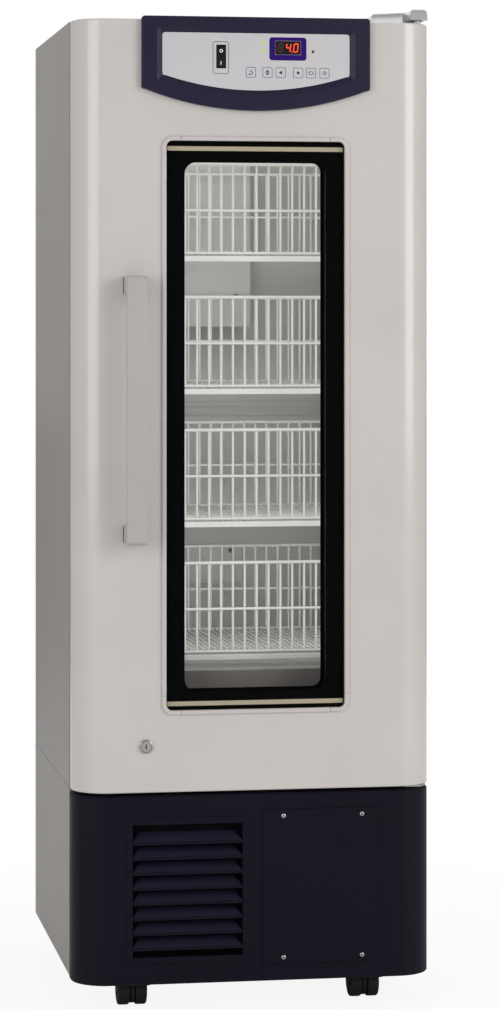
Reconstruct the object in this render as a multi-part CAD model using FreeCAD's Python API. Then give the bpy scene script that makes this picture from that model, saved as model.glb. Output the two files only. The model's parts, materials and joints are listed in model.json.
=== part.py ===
import FreeCAD, Part
import math
import os

# Blood bank refrigerator: an upright insulated cabinet on four twin-wheel casters, with one glazed
# door, four sliding wire baskets and a machine compartment below. Sizes are in millimetres.
# The door faces -Y, +Z is up, and the origin is on the floor below the middle of the whole object.

os.makedirs("parts", exist_ok=True)
Vector = FreeCAD.Vector

# Overall sizes
cabinet_width = 555.0
cabinet_depth = 570.0
case_top = 1508.0
seam_z = 335.0
cover_bottom = 45.0
side_panel_bottom = 48.0
frame_floor = 54.0
handle_reach = 43.0

# Case
sheet = 1.0
insulation = 55.0
liner_wall = 1.0
liner_floor = 512.0
apron_insulation = 54.0
back_recess = 3.0
ridge_height = 8.0
ridge_depth = 3.0
ridge_rise = 368.0

# Door
door_thickness = 58.0
door_gap = 12.0
door_bottom_gap = 0.8
corner_radius = 54.0
door_skin_wall = 1.2
door_edge_chamfer = 2.5
door_liner_wall = 2.0

# Door seal
seal_inset = 22.0
seal_width = 18.0
seal_flange = 4.0
seal_bulb_width = 12.0

# Window in the door
window_half_width = 137.8
window_top_drop = 184.5
window_bottom = 459.5
pane_thickness = 4.0
pane_setback = 1.0
view_half_width = 109.0
view_top_border = 32.5
view_bottom_border = 28.5
view_corner = 18.0
inner_pane_thickness = 8.0
inner_pane_lap = 8.0
strip_height = 6.8
strip_offset = 8.1
strip_end_gap = 2.0
strip_thickness = 2.0
trim_width = 6.8
trim_proud = 3.0
trim_round = 1.6
trim_corner_leg = 29.0
trim_corner_radius = 16.5
trim_seam = 0.25

# Handle
handle_inset = 89.5
handle_width = 30.5
handle_bottom = 713.0
handle_length = 405.0
handle_bar = 12.0
handle_foot = 29.0
handle_outer_round = 9.0
handle_inner_round = 7.0
handle_edge_round = 1.5

# Control fascia on the door
fascia_half_width = 176.3
fascia_overhang = 4.0
fascia_side_height = 108.5
fascia_middle_height = 142.5
fascia_proud = 8.0
fascia_corner_cut = 4.0
pocket_depth = 5.0
pocket_bevel = 8.5
overlay_half_width = 144.5
overlay_top_drop = 24.5
overlay_side_height = 63.5
overlay_middle_height = 87.0
overlay_corner = 4.6
overlay_thickness = 1.0
controls_cavity_depth = 26.0
controls_cavity_half_width = 122.0
controls_cavity_top_drop = 7.5
controls_cavity_height = 68.0

# Controls
display_x = 49.0
display_drop = 21.5
display_width = 39.4
display_height = 20.6
display_body_depth = 12.0
lamp_radius = 1.7
lamp_offset_x = 38.7
lamp_rise = 6.0
lamp_drop = 6.2
lamp_proud = 0.6
key_centres_x = [-8.5, 17.0, 37.5, 64.5, 84.5, 105.5]
key_drop = 59.5
key_width = 15.6
key_height = 16.0
key_proud = 0.5
key_thickness = 1.2
key_travel = 0.6
switch_x = -54.3
switch_drop = 36.0
switch_width = 14.4
switch_half_height = 17.0
switch_tilt = 8.0
switch_ridge = 7.0
switch_axis_depth = 2.0
switch_back = 3.0
board_thickness = 1.6

# Lock
lock_inset = 108.5
lock_z = 406.0
lock_flange_radius = 10.75
lock_flange_proud = 3.0
lock_body_half_width = 7.4
lock_plug_radius = 5.6
lock_cam_length = 24.0
lock_cam_width = 10.0
lock_cam_thickness = 2.0
lock_cam_offset = 6.0
keyhole_width = 1.8
keyhole_height = 7.0
keyhole_depth = 8.0
keeper_height = 24.0
keeper_lip = 8.0
keeper_lip_offset = 2.5
keeper_plate = 18.0
keeper_wall = 2.0
keeper_reach = 28.0

# Door hinges
hinge_inset_x = 20.0
hinge_inset_y = 30.0
hinge_pin_radius = 4.3
hinge_pin_depth = 18.0
bush_half_width = 7.0
hinge_arm_height = 16.5
hinge_arm_gap = 5.5
hinge_plate_inner_reach = 57.5
hinge_plate_outer_reach = 14.5
hinge_arm_inner_reach = 13.5
hinge_arm_front_reach = 13.5
hinge_body_back = 75.0
hinge_tail = 28.0
hinge_body_taper = 5.0
lower_hinge_plate = 3.0
lower_hinge_inner_reach = 21.5
lower_hinge_flange_height = 18.0

# Wire baskets
basket_count = 4
basket_rim_drop = 158.0
basket_height = 153.0
basket_floor_clearance = 12.0
basket_side_gap = 26.5
basket_setback = 25.0
basket_back_gap = 20.0
wire = 4.0
rim_wire = 5.0
basket_middle_drop = 72.0
basket_lower_drop = 138.0
basket_front_gap_count = 12
basket_rear_gap_count = 4
basket_side_gap_count = 3
strip_front_height = 8.5
strip_front_wall = 3.0
rail_leg = 3.0
rail_side_gap = 8.5
rail_front_setback = 80.0

# Basket runners
runner_height = 20.0
runner_wall = 2.0
runner_width = 22.0
runner_top_width = 16.0
runner_front_gap = 8.0
runner_overlap = 10.0
runner_play = 0.2

# Air duct on the back wall of the cavity
duct_half_width = 71.0
duct_depth = 60.0
duct_height = 414.0
duct_wall = 1.5
duct_fan_drop = 78.0
duct_fan_opening = 52.0
duct_screw_rise = 51.0
duct_screw_x = 47.0
lower_panel_half_width = 66.0
lower_panel_rise = 94.0
lower_panel_height = 65.0
lower_panel_thickness = 4.0
evaporator_half_width = 60.0
evaporator_rise = 56.0
evaporator_height = 200.0
evaporator_fin_count = 9
evaporator_fin = 1.2
evaporator_header = 6.0

# Interior lamp
lamp_half_length = 150.0
lamp_width = 22.0
lamp_height = 12.0
lamp_setback = 34.0

# Front cover, grille and access plate
cover_wall = 3.0
cover_top_gap = 4.0
cover_edge = 3.0
grille_left = -199.5
grille_right = -10.2
grille_bottom = 76.0
grille_top = 297.0
grille_border = 10.6
grille_flange_proud = 1.5
grille_lap = 4.5
grille_depth = 20.0
louvre_count = 8
louvre_pitch = 22.83
louvre_lowest_z = 104.1
louvre_rise = 17.5
louvre_run = 15.0
louvre_wall = 2.0
louvre_lip = 4.0
plate_left = 10.4
plate_right = 197.0
plate_bottom = 70.4
plate_top = 306.0
plate_thickness = 2.0
plate_lap = 14.0
plate_screw_left = 42.5
plate_screw_right = 164.5
plate_screw_inset = 10.0
screw_head_radius = 3.2
screw_head = 1.6

# Machine compartment
frame_sheet = 2.0
frame_flange = 24.0
frame_front_reach = 44.0
frame_front_side_gap = 65.5
socket_radius = 10.0
socket_height = 34.0
condenser_left = -190.0
condenser_right = -20.0
condenser_bottom = 92.0
condenser_top = 290.0
condenser_front_gap = 14.0
condenser_depth = 44.0
condenser_fin_count = 10
condenser_fin = 1.0
condenser_header = 8.0
shroud_depth = 34.0
shroud_wall = 1.5
fan_radius = 78.0
fan_tip_gap = 4.0
fan_hub_radius = 20.0
fan_hub_length = 20.0
fan_blade_count = 5
fan_blade_wall = 2.0
fan_blade_chord = 42.0
fan_blade_pitch = 25.0
fan_shaft_radius = 3.0
motor_radius = 34.0
motor_length = 46.0
motor_arm_width = 14.0
motor_arm_wall = 2.0
compressor_x = 110.0
compressor_back_gap = 176.5
compressor_radius = 76.0
compressor_height = 176.0
compressor_base = 16.0
compressor_plate = 3.0
compressor_dome = 30.0
shell_sides = 20
compressor_foot_x = 84.0
compressor_foot_y = 60.0
grommet_radius = 9.0
terminal_box_width = 56.0
terminal_box_depth = 40.0
terminal_box_height = 70.0
pipe_radius = 4.0
pipe_stub = 26.0
tray_left = -200.0
tray_right = -20.0
tray_back_gap = 84.5
tray_depth = 162.0
tray_height = 40.0
tray_wall = 2.0
guard_slot_row_count = 7
guard_slot_pitch = 40.0
guard_slot_height = 12.0
guard_slot_length = 190.0
guard_slot_start = 130.0
guard_slot_gap = 30.0
inlet_inset = 52.5
inlet_z = 92.0
inlet_width = 28.0
inlet_height = 22.0
inlet_flange = 5.0
inlet_flange_wall = 1.5
inlet_body_depth = 24.0
inlet_recess = 16.0
inlet_wall = 2.5

# Evaporator fan
small_fan_radius = 42.0
small_hub_radius = 14.0
small_hub_length = 14.0
small_blade_chord = 24.0
small_motor_radius = 19.0
small_motor_length = 18.0

# Casters
caster_side_inset = 96.0
caster_front_inset = 62.0
caster_back_inset = 66.0
caster_wheel_radius = 25.0
caster_half_width = 22.0
caster_web = 7.0
caster_trail = 14.0
caster_axle_radius = 4.0
caster_hub_radius = 9.0
caster_hood_half_width = 29.0
caster_hood_bottom = 34.0
caster_hood_front = 17.0
caster_hood_back = 33.0
caster_hood_round = 7.0
caster_wheel_gap = 1.2
wheel_sides = 28
caster_stem_radius = 5.5
caster_stem_length = 30.0

# Clearances
running_gap = 0.05
moving_gap = 0.3
fit_gap = 0.3

# Places worked out from the sizes above
half_width = cabinet_width / 2
front_y = handle_reach - (cabinet_depth + handle_reach) / 2
back_y = front_y + cabinet_depth
door_back_y = front_y + door_thickness
case_y = door_back_y + door_gap
door_bottom = seam_z + door_bottom_gap
door_top = case_top
cavity_half_width = half_width - insulation
cavity_top = case_top - insulation
cavity_back = back_y - insulation
back_sheet_y = back_y - back_recess
floor_slab_bottom = liner_floor - insulation
hinge_x = half_width - hinge_inset_x
hinge_y = front_y + hinge_inset_y
hinge_plate_y = case_y
hinge_arm_under = case_top + hinge_arm_gap
hinge_top = hinge_arm_under + hinge_arm_height
hinge_plate_left = hinge_x - hinge_plate_inner_reach
hinge_plate_right = hinge_x + hinge_plate_outer_reach
hinge_arm_left = hinge_x - hinge_arm_inner_reach
lower_hinge_left = hinge_x - lower_hinge_inner_reach
ridge_z = liner_floor + ridge_rise
window_top = case_top - window_top_drop
view_top = window_top - view_top_border
view_bottom = window_bottom + view_bottom_border
handle_centre_x = handle_inset - half_width
lock_x = lock_inset - half_width
fascia_top = case_top + fascia_overhang
fascia_corner_z = fascia_top - fascia_side_height
fascia_arc_z = fascia_top - fascia_middle_height
overlay_top = fascia_top - overlay_top_drop
overlay_corner_z = overlay_top - overlay_side_height
overlay_arc_z = overlay_top - overlay_middle_height
controls_cavity_top = overlay_top - controls_cavity_top_drop
controls_cavity_bottom = controls_cavity_top - controls_cavity_height
display_z = overlay_top - display_drop
lamp_upper_z = display_z + lamp_rise
lamp_lower_z = display_z - lamp_drop
key_z = overlay_top - key_drop
switch_z = overlay_top - switch_drop
overlay_front_y = front_y - fascia_proud + pocket_depth - overlay_thickness
pocket_floor_y = front_y - fascia_proud + pocket_depth
cover_top = seam_z - cover_top_gap
basket_front_y = case_y + basket_setback
basket_rim_top = cavity_top - basket_rim_drop
basket_lowest_rim = liner_floor + basket_floor_clearance + basket_height
basket_pitch = (basket_rim_top - basket_lowest_rim) / (basket_count - 1)
basket_half_width = cavity_half_width - basket_side_gap
basket_depth = cavity_back - duct_depth - basket_back_gap - basket_front_y
rail_half_width = cavity_half_width - rail_side_gap
runner_length = basket_depth + runner_overlap
duct_bottom = cavity_top - duct_height
duct_fan_z = cavity_top - duct_fan_drop
duct_screw_z = duct_bottom + duct_screw_rise
evaporator_bottom = duct_bottom + evaporator_rise
evaporator_top = evaporator_bottom + evaporator_height
lower_panel_bottom = liner_floor + lower_panel_rise
lower_panel_top = lower_panel_bottom + lower_panel_height
frame_front_half_width = half_width - frame_front_side_gap
compressor_y = back_y - compressor_back_gap
tray_back = back_y - tray_back_gap
tray_front = tray_back - tray_depth
inlet_x = inlet_inset - half_width
caster_x = half_width - caster_side_inset
fan_x = (condenser_left + condenser_right) / 2
fan_z = (condenser_bottom + condenser_top) / 2
condenser_y = front_y + grille_depth + condenser_front_gap
shroud_y = condenser_y + condenser_depth
caster_places = {
    "front_left": (-caster_x, front_y + caster_front_inset),
    "front_right": (caster_x, front_y + caster_front_inset),
    "back_left": (-caster_x, back_y - caster_back_inset),
    "back_right": (caster_x, back_y - caster_back_inset),
}


# Shape helpers
def box(x0, x1, y0, y1, z0, z1):
    return Part.makeBox(x1 - x0, y1 - y0, z1 - z0, Vector(x0, y0, z0))


def rod(radius, start, direction, length):
    return Part.makeCylinder(radius, length, Vector(*start), Vector(*direction))


def facetted_rod(radius, start, direction, length, sides=10):
    points = []
    for index in range(sides):
        u = radius * math.cos(2 * math.pi * index / sides)
        v = radius * math.sin(2 * math.pi * index / sides)
        across = (0, u, v) if direction[0] else (u, 0, v) if direction[1] else (u, v, 0)
        points.append(Vector(*start) + Vector(*across))
    return prism(polygon(points), [length * part for part in direction])


def line(a, b):
    return Part.LineSegment(a, b).toShape()


def arc(a, b, c):
    return Part.Arc(a, b, c).toShape()


def polygon(points):
    return Part.makePolygon(points + [points[0]])


def prism(wire, vector):
    return Part.Face(wire).extrude(Vector(*vector))


def rounded_outline(u0, u1, v0, v1, radius, place):
    if radius <= 0:
        return polygon([place(u0, v0), place(u1, v0), place(u1, v1), place(u0, v1)])
    bulge = radius * (1 - math.sqrt(0.5))
    return Part.Wire([
        line(place(u0 + radius, v0), place(u1 - radius, v0)),
        arc(place(u1 - radius, v0), place(u1 - bulge, v0 + bulge), place(u1, v0 + radius)),
        line(place(u1, v0 + radius), place(u1, v1 - radius)),
        arc(place(u1, v1 - radius), place(u1 - bulge, v1 - bulge), place(u1 - radius, v1)),
        line(place(u1 - radius, v1), place(u0 + radius, v1)),
        arc(place(u0 + radius, v1), place(u0 + bulge, v1 - bulge), place(u0, v1 - radius)),
        line(place(u0, v1 - radius), place(u0, v0 + radius)),
        arc(place(u0, v0 + radius), place(u0 + bulge, v0 + bulge), place(u0 + radius, v0)),
    ])


def front_panel(x0, x1, z0, z1, radius, y0, y1):
    outline = rounded_outline(x0, x1, z0, z1, radius, lambda u, v: Vector(u, y0, v))
    return prism(outline, (0, y1 - y0, 0))


def fused(shapes):
    first = shapes[0]
    return first.multiFuse(shapes[1:]).removeSplitter() if len(shapes) > 1 else first


def edges_where(shape, test):
    return [edge for edge in shape.Edges if test(edge.BoundBox)]


def save(name, *shapes):
    shape = shapes[0] if len(shapes) == 1 else Part.makeCompound(list(shapes))
    shape.exportStep("parts/" + name + ".step")


# Plan outline that the door and the base cover share: a flat front with large round corners
def front_plan(inset, rear_y, z0, z1):
    side = half_width - inset
    front = front_y + inset
    radius = corner_radius - inset
    bulge = radius * (1 - math.sqrt(0.5))

    def at(x, y):
        return Vector(x, y, z0)

    outline = Part.Wire([
        line(at(-side, rear_y), at(-side, front + radius)),
        arc(at(-side, front + radius), at(-side + bulge, front + bulge), at(-side + radius, front)),
        line(at(-side + radius, front), at(side - radius, front)),
        arc(at(side - radius, front), at(side - bulge, front + bulge), at(side, front + radius)),
        line(at(side, front + radius), at(side, rear_y)),
        line(at(side, rear_y), at(-side, rear_y)),
    ])
    return prism(outline, (0, 0, z1 - z0))


# Case: wrap, back, insulation, liner
def case_wrap():
    outer = box(-half_width, half_width, case_y, back_y, seam_z, case_top)
    hollow = box(-half_width + sheet, half_width - sheet, case_y + sheet, back_y, seam_z, case_top - sheet)
    liner_side = cavity_half_width + liner_wall
    mouth = box(-liner_side, liner_side, case_y, case_y + sheet,
                liner_floor - liner_wall, cavity_top + liner_wall)
    return outer.cut(hollow).cut(mouth)


def case_back():
    return box(-half_width + sheet, half_width - sheet, back_sheet_y - sheet, back_sheet_y,
               floor_slab_bottom, case_top - sheet)


def case_insulation():
    outer_side = half_width - sheet
    inner_side = cavity_half_width + liner_wall
    y0 = case_y + sheet
    y1 = back_sheet_y - sheet
    y_liner = cavity_back + liner_wall
    top = case_top - sheet
    left = box(-outer_side, -inner_side, y0, y1, seam_z, top)
    right = box(inner_side, outer_side, y0, y1, seam_z, top)
    ceiling = box(-inner_side, inner_side, y0, y1, cavity_top + liner_wall, top)
    back = box(-inner_side, inner_side, y_liner, y1, liner_floor - liner_wall, cavity_top + liner_wall)
    floor = box(-inner_side, inner_side, y0, y1, floor_slab_bottom, liner_floor - liner_wall)
    apron = box(-inner_side, inner_side, y0, y0 + apron_insulation, seam_z, floor_slab_bottom)
    return [left, right, ceiling, back, floor, apron]


def inner_liner():
    side = cavity_half_width
    outer = box(-side - liner_wall, side + liner_wall, case_y, cavity_back + liner_wall,
                liner_floor - liner_wall, cavity_top + liner_wall)
    hollow = box(-side, side, case_y, cavity_back, liner_floor, cavity_top)
    shell = outer.cut(hollow)
    ridges = [box(-side, side, cavity_back - ridge_depth, cavity_back, z, z + ridge_height)
              for z in (ridge_z, ridge_z + 3 * ridge_height)]
    return fused([shell] + ridges)


# Runners: one C-section channel on each side wall for each basket
def basket_bottom(index):
    return basket_rim_top - basket_height - index * basket_pitch


def basket_runner(side, bottom):
    wall_x = cavity_half_width
    y0 = case_y + runner_front_gap
    y1 = y0 + runner_length
    z0 = bottom + rail_leg - runner_play - runner_wall
    z1 = z0 + runner_height
    web = box(wall_x - runner_wall, wall_x, y0, y1, z0, z1)
    foot = box(wall_x - runner_width, wall_x, y0, y1, z0, z0 + runner_wall)
    lip = box(wall_x - runner_top_width, wall_x, y0, y1, z1 - runner_wall, z1)
    channel = fused([web, foot, lip])
    return channel if side > 0 else channel.mirror(Vector(0, 0, 0), Vector(1, 0, 0))


# Baskets: welded grids, a front strip and an angle rail on each side
def grid(u0, u1, v0, v1, columns, levels, place):
    holes = []
    pitch = (u1 - u0 - wire) / columns
    for column in range(columns):
        left = u0 + wire + column * pitch
        for low, high in levels:
            holes.append(rounded_outline(left, left + pitch - wire, low, high, 0, place))
    return Part.Face([rounded_outline(u0, u1, v0, v1, 0, place)] + holes)


def basket_shapes(index):
    bottom = basket_bottom(index)
    rim = bottom + basket_height
    floor_z = bottom + strip_front_height
    side = basket_half_width
    y0 = basket_front_y
    y1 = y0 + basket_depth
    upper = (rim - basket_middle_drop, rim - rim_wire)
    lower = (rim - basket_lower_drop + wire, rim - basket_middle_drop - wire)

    front = grid(-side, side, floor_z + wire, rim, basket_front_gap_count, (upper, lower),
                 lambda u, v: Vector(u, y0, v)).extrude(Vector(0, wire, 0))
    whole = [(lower[0], upper[1])]
    rear = grid(-side, side, floor_z + wire, rim, basket_rear_gap_count, whole,
                lambda u, v: Vector(u, y1 - wire, v)).extrude(Vector(0, wire, 0))
    walls = [grid(y0 + wire, y1 - wire, floor_z + wire, rim, basket_side_gap_count, whole,
                  lambda u, v, x=x: Vector(x, u, v)).extrude(Vector(wire, 0, 0))
             for x in (-side, side - wire)]
    floor = grid(-side, side, y0, y1, basket_rear_gap_count, [(y0 + wire, y1 - wire)],
                 lambda u, v: Vector(u, v, floor_z)).extrude(Vector(0, 0, wire))
    strip = box(-side, side, y0, y0 + strip_front_wall, bottom, floor_z)
    rails = []
    for sign in (-1, 1):
        inner = side - 2 * wire
        rail_y0 = y0 + strip_front_wall
        upright = box(inner, inner + rail_leg, rail_y0, y1, bottom, floor_z)
        shelf = box(inner, rail_half_width, y0 + rail_front_setback, y1,
                    bottom + rail_leg, bottom + 2 * rail_leg)
        rail = fused([upright, shelf])
        rails.append(rail if sign > 0 else rail.mirror(Vector(0, 0, 0), Vector(1, 0, 0)))
    return [front, rear] + walls + [floor, strip] + rails


# Air duct covers, evaporator and interior lamp
def duct_cover():
    y0 = cavity_back - duct_depth
    outer = box(-duct_half_width, duct_half_width, y0, cavity_back, duct_bottom, cavity_top)
    hollow = box(-duct_half_width + duct_wall, duct_half_width - duct_wall, y0 + duct_wall, cavity_back,
                 duct_bottom + duct_wall, cavity_top)
    intake = box(-duct_half_width + 4 * duct_wall, duct_half_width - 4 * duct_wall,
                 y0 + 4 * duct_wall, cavity_back - 4 * duct_wall, duct_bottom, duct_bottom + duct_wall)
    cover = outer.cut(hollow).cut(intake)
    slot_gap = duct_fan_opening / 3
    slots = []
    for step in range(-2, 3):
        reach = math.sqrt(duct_fan_opening ** 2 - (step * slot_gap) ** 2)
        z = duct_fan_z + step * slot_gap
        slots.append(box(-reach, reach, y0, y0 + duct_wall, z - slot_gap / 4, z + slot_gap / 4))
    return cover.cut(Part.makeCompound(slots))


def lower_duct_panel():
    return box(-lower_panel_half_width, lower_panel_half_width, cavity_back - lower_panel_thickness,
               cavity_back, lower_panel_bottom, lower_panel_top)


def finned_block(x0, x1, y0, y1, z0, z1, count, fin, header):
    plates = [box(x0, x1, y0 + header / 2, y1 - header / 2, z0, z0 + header),
              box(x0, x1, y0 + header / 2, y1 - header / 2, z1 - header, z1)]
    pitch = (x1 - x0 - fin) / (count - 1)
    for index in range(count):
        x = x0 + index * pitch
        plates.append(box(x, x + fin, y0, y1, z0, z1))
    return fused(plates)


def evaporator():
    y1 = cavity_back - fit_gap
    y0 = y1 - duct_depth + 5 * duct_wall
    return finned_block(-evaporator_half_width, evaporator_half_width, y0, y1,
                        evaporator_bottom, evaporator_top, evaporator_fin_count, evaporator_fin,
                        evaporator_header)


def interior_lamp():
    y0 = case_y + lamp_setback
    lamp = box(-lamp_half_length, lamp_half_length, y0, y0 + lamp_width, cavity_top - lamp_height, cavity_top)
    low = cavity_top - lamp_height
    lower_edges = edges_where(lamp, lambda b: b.XLength > lamp_half_length and b.ZMax < low + fit_gap)
    return lamp.makeFillet(lamp_height / 3, lower_edges)


# Door
def window_hole(gap, y0, y1):
    return box(-window_half_width - gap, window_half_width + gap, y0, y1, window_bottom - gap, window_top + gap)


def lock_block(y0, y1):
    half = lock_body_half_width
    return box(lock_x - half, lock_x + half, y0, y1, lock_z - half, lock_z + half)


def controls_cavity(depth):
    return box(-controls_cavity_half_width, controls_cavity_half_width, front_y, front_y + depth,
               controls_cavity_bottom, controls_cavity_top)


def bush_blocks():
    half = bush_half_width
    return [box(hinge_x - half, hinge_x + half, hinge_y - half, hinge_y + half, z0, z0 + hinge_pin_depth)
            for z0 in (door_top - hinge_pin_depth, door_bottom)]


def door_skin():
    outer = front_plan(0, door_back_y, door_bottom, door_top)
    top = door_top

    def top_edge(bound):
        return bound.ZMin > top - fit_gap and bound.YMin < door_back_y - door_edge_chamfer

    outer = outer.makeChamfer(door_edge_chamfer, edges_where(outer, top_edge))
    hollow = front_plan(door_skin_wall, door_back_y, door_bottom + door_skin_wall, door_top - door_skin_wall)
    skin = outer.cut(hollow)
    skin = skin.cut(window_hole(fit_gap, front_y, door_back_y))
    skin = skin.cut(lock_block(front_y, door_back_y))
    skin = skin.cut(controls_cavity(door_skin_wall))
    return skin.cut(Part.makeCompound(bush_blocks()))


def door_insulation():
    z0 = door_bottom + door_skin_wall
    z1 = door_top - door_skin_wall
    y1 = door_back_y - door_liner_wall
    block = front_plan(door_skin_wall, y1, z0, z1)
    edge = window_half_width + fit_gap
    left = block.common(box(-half_width, -edge, front_y, y1, z0, z1))
    right = block.common(box(edge, half_width, front_y, y1, z0, z1))
    above = block.common(box(-edge, edge, front_y, y1, window_top + fit_gap, z1))
    below = block.common(box(-edge, edge, front_y, y1, z0, window_bottom - fit_gap))
    left = left.cut(lock_block(front_y, door_back_y))
    below = below.cut(lock_block(front_y, door_back_y))
    right = right.cut(Part.makeCompound(bush_blocks()))
    above = above.cut(controls_cavity(controls_cavity_depth))
    return [left, right, above, below]


def door_liner():
    side = half_width - door_skin_wall
    plate = box(-side, side, door_back_y - door_liner_wall, door_back_y,
                door_bottom + door_skin_wall, door_top - door_skin_wall)
    return plate.cut(window_hole(fit_gap, front_y, door_back_y)).cut(lock_block(front_y, door_back_y))


def ring(x0, x1, z0, z1, width, radius, y0, y1):
    outer = front_panel(x0, x1, z0, z1, radius, y0, y1)
    inner_radius = max(radius - width, 0)
    inner = front_panel(x0 + width, x1 - width, z0 + width, z1 - width, inner_radius, y0, y1)
    return outer.cut(inner)


def door_gasket():
    x = half_width - seal_inset
    z0 = door_bottom + seal_inset
    z1 = door_top - seal_inset
    flange = ring(-x, x, z0, z1, seal_width, 0, door_back_y, door_back_y + seal_flange)
    step = (seal_width - seal_bulb_width) / 2
    bulb = ring(-x + step, x - step, z0 + step, z1 - step, seal_bulb_width, 0,
                door_back_y + seal_flange, case_y - moving_gap)
    return fused([flange, bulb])


# Window: outer pane, black surround with two pale strips, sealed inner unit and snap-on trim
pane_back_y = front_y + pane_setback + pane_thickness


def strip_box(z0, depth, gap):
    reach = window_half_width - strip_end_gap + gap
    return box(-reach, reach, pane_back_y, pane_back_y + depth, z0 - gap, z0 + strip_height + gap)


def window_outer_pane():
    return box(-window_half_width, window_half_width, front_y + pane_setback, pane_back_y,
               window_bottom, window_top)


def strip_levels():
    return [window_top - strip_offset - strip_height, window_bottom + strip_offset - strip_end_gap]


def window_surround():
    outer = box(-window_half_width, window_half_width, pane_back_y, door_back_y, window_bottom, window_top)
    view = front_panel(-view_half_width, view_half_width, view_bottom, view_top, view_corner,
                       pane_back_y, door_back_y)
    surround = outer.cut(view).cut(window_inner_pane())
    for level in strip_levels():
        surround = surround.cut(strip_box(level, strip_thickness, 0))
    return surround


def window_strips():
    return [strip_box(level, strip_thickness, 0) for level in strip_levels()]


def window_inner_pane():
    lap = inner_pane_lap
    return box(-view_half_width - lap, view_half_width + lap, door_back_y - inner_pane_thickness, door_back_y,
               view_bottom - lap, view_top + lap)


def window_trim():
    x = window_half_width + trim_width
    z0 = window_bottom - trim_width
    z1 = window_top + trim_width
    y0 = front_y - trim_proud
    frame = ring(-x, x, z0, z1, trim_width, trim_corner_radius, y0, front_y)
    front_edges = edges_where(frame, lambda b: b.YMax < y0 + fit_gap)
    frame = frame.makeChamfer(trim_round, front_edges)
    pieces = []
    leg = trim_corner_leg
    for sx in (-1, 1):
        for z in (z0, z1 - leg):
            x0 = min(sx * x, sx * (x - leg))
            pieces.append(frame.common(box(x0, x0 + leg, y0, front_y, z, z + leg)))
    inner = leg + trim_seam
    for z in (z0, z1 - trim_corner_leg):
        pieces.append(frame.common(box(-x + inner, x - inner, y0, front_y, z, z + leg)))
    for sx in (-1, 1):
        x0 = min(sx * x, sx * (x - leg))
        pieces.append(frame.common(box(x0, x0 + leg, y0, front_y, z0 + inner, z1 - inner)))
    return pieces


# Handle: one C-shaped bar whose feet stand on the door
def handle():
    x0 = handle_centre_x - handle_width / 2
    x1 = handle_centre_x + handle_width / 2
    y0 = front_y - handle_reach
    z0 = handle_bottom
    z1 = z0 + handle_length

    def at(y, z):
        return Vector(x0, y, z)

    r = handle_outer_round
    bulge = r * (1 - math.sqrt(0.5))
    outline = Part.Wire([
        line(at(front_y, z0), at(y0 + r, z0)),
        arc(at(y0 + r, z0), at(y0 + bulge, z0 + bulge), at(y0, z0 + r)),
        line(at(y0, z0 + r), at(y0, z1 - r)),
        arc(at(y0, z1 - r), at(y0 + bulge, z1 - bulge), at(y0 + r, z1)),
        line(at(y0 + r, z1), at(front_y, z1)),
        line(at(front_y, z1), at(front_y, z0)),
    ])
    body = prism(outline, (handle_width, 0, 0))
    grip = rounded_outline(y0 + handle_bar, front_y + handle_reach, z0 + handle_foot, z1 - handle_foot,
                           handle_inner_round, at)
    body = body.cut(prism(grip, (handle_width, 0, 0)))
    long_edges = edges_where(body, lambda b: b.YMax < y0 + r + fit_gap and b.XLength < fit_gap)
    return body.makeChamfer(handle_edge_round, long_edges)


# Control fascia: outlines with a straight top and sides and a bowed lower edge
def bow_z(x, half, corner_z, arc_z):
    rise = corner_z - arc_z
    radius = (half ** 2 + rise ** 2) / (2 * rise)
    return arc_z + radius - math.sqrt(radius ** 2 - x ** 2)


def bowed_outline(half, top, corner_z, arc_z, corner, y):
    def at(x, z):
        return Vector(x, y, z)

    low_x = half - corner
    low_z = bow_z(low_x, half, corner_z, arc_z)
    side_z = corner_z + corner
    return Part.Wire([
        line(at(-low_x, top), at(low_x, top)),
        line(at(low_x, top), at(half, top - corner)),
        line(at(half, top - corner), at(half, side_z)),
        line(at(half, side_z), at(low_x, low_z)),
        arc(at(low_x, low_z), at(0, arc_z), at(-low_x, low_z)),
        line(at(-low_x, low_z), at(-half, side_z)),
        line(at(-half, side_z), at(-half, top - corner)),
        line(at(-half, top - corner), at(-low_x, top)),
    ])


def overlay_outline(growth, y):
    return bowed_outline(overlay_half_width + growth, overlay_top + growth, overlay_corner_z - growth,
                         overlay_arc_z - growth, overlay_corner, y)


def key_cutter(x, gap, y0, y1):
    return front_panel(x - key_width / 2 - gap, x + key_width / 2 + gap, key_z - key_height / 2 - gap,
                       key_z + key_height / 2 + gap, 0, y0, y1)


def switch_cutter(y0, y1):
    corner_reach = math.hypot(switch_half_height, switch_ridge) + moving_gap
    side = switch_width / 2 + moving_gap
    return box(switch_x - side, switch_x + side, y0, y1, switch_z - corner_reach, switch_z + corner_reach)


def display_cutter(y0, y1, gap):
    return box(display_x - display_width / 2 - gap, display_x + display_width / 2 + gap, y0, y1,
               display_z - display_height / 2 - gap, display_z + display_height / 2 + gap)


def lamp_places():
    return [(display_x + sx * lamp_offset_x, z) for sx in (-1, 1) for z in (lamp_upper_z, lamp_lower_z)]


def control_cutters(y0, y1):
    cutters = [switch_cutter(y0, y1), display_cutter(y0, y1, fit_gap)]
    for x, z in lamp_places():
        reach = lamp_radius + fit_gap
        cutters.append(box(x - reach, x + reach, y0, y1, z - reach, z + reach))
    return cutters


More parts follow.
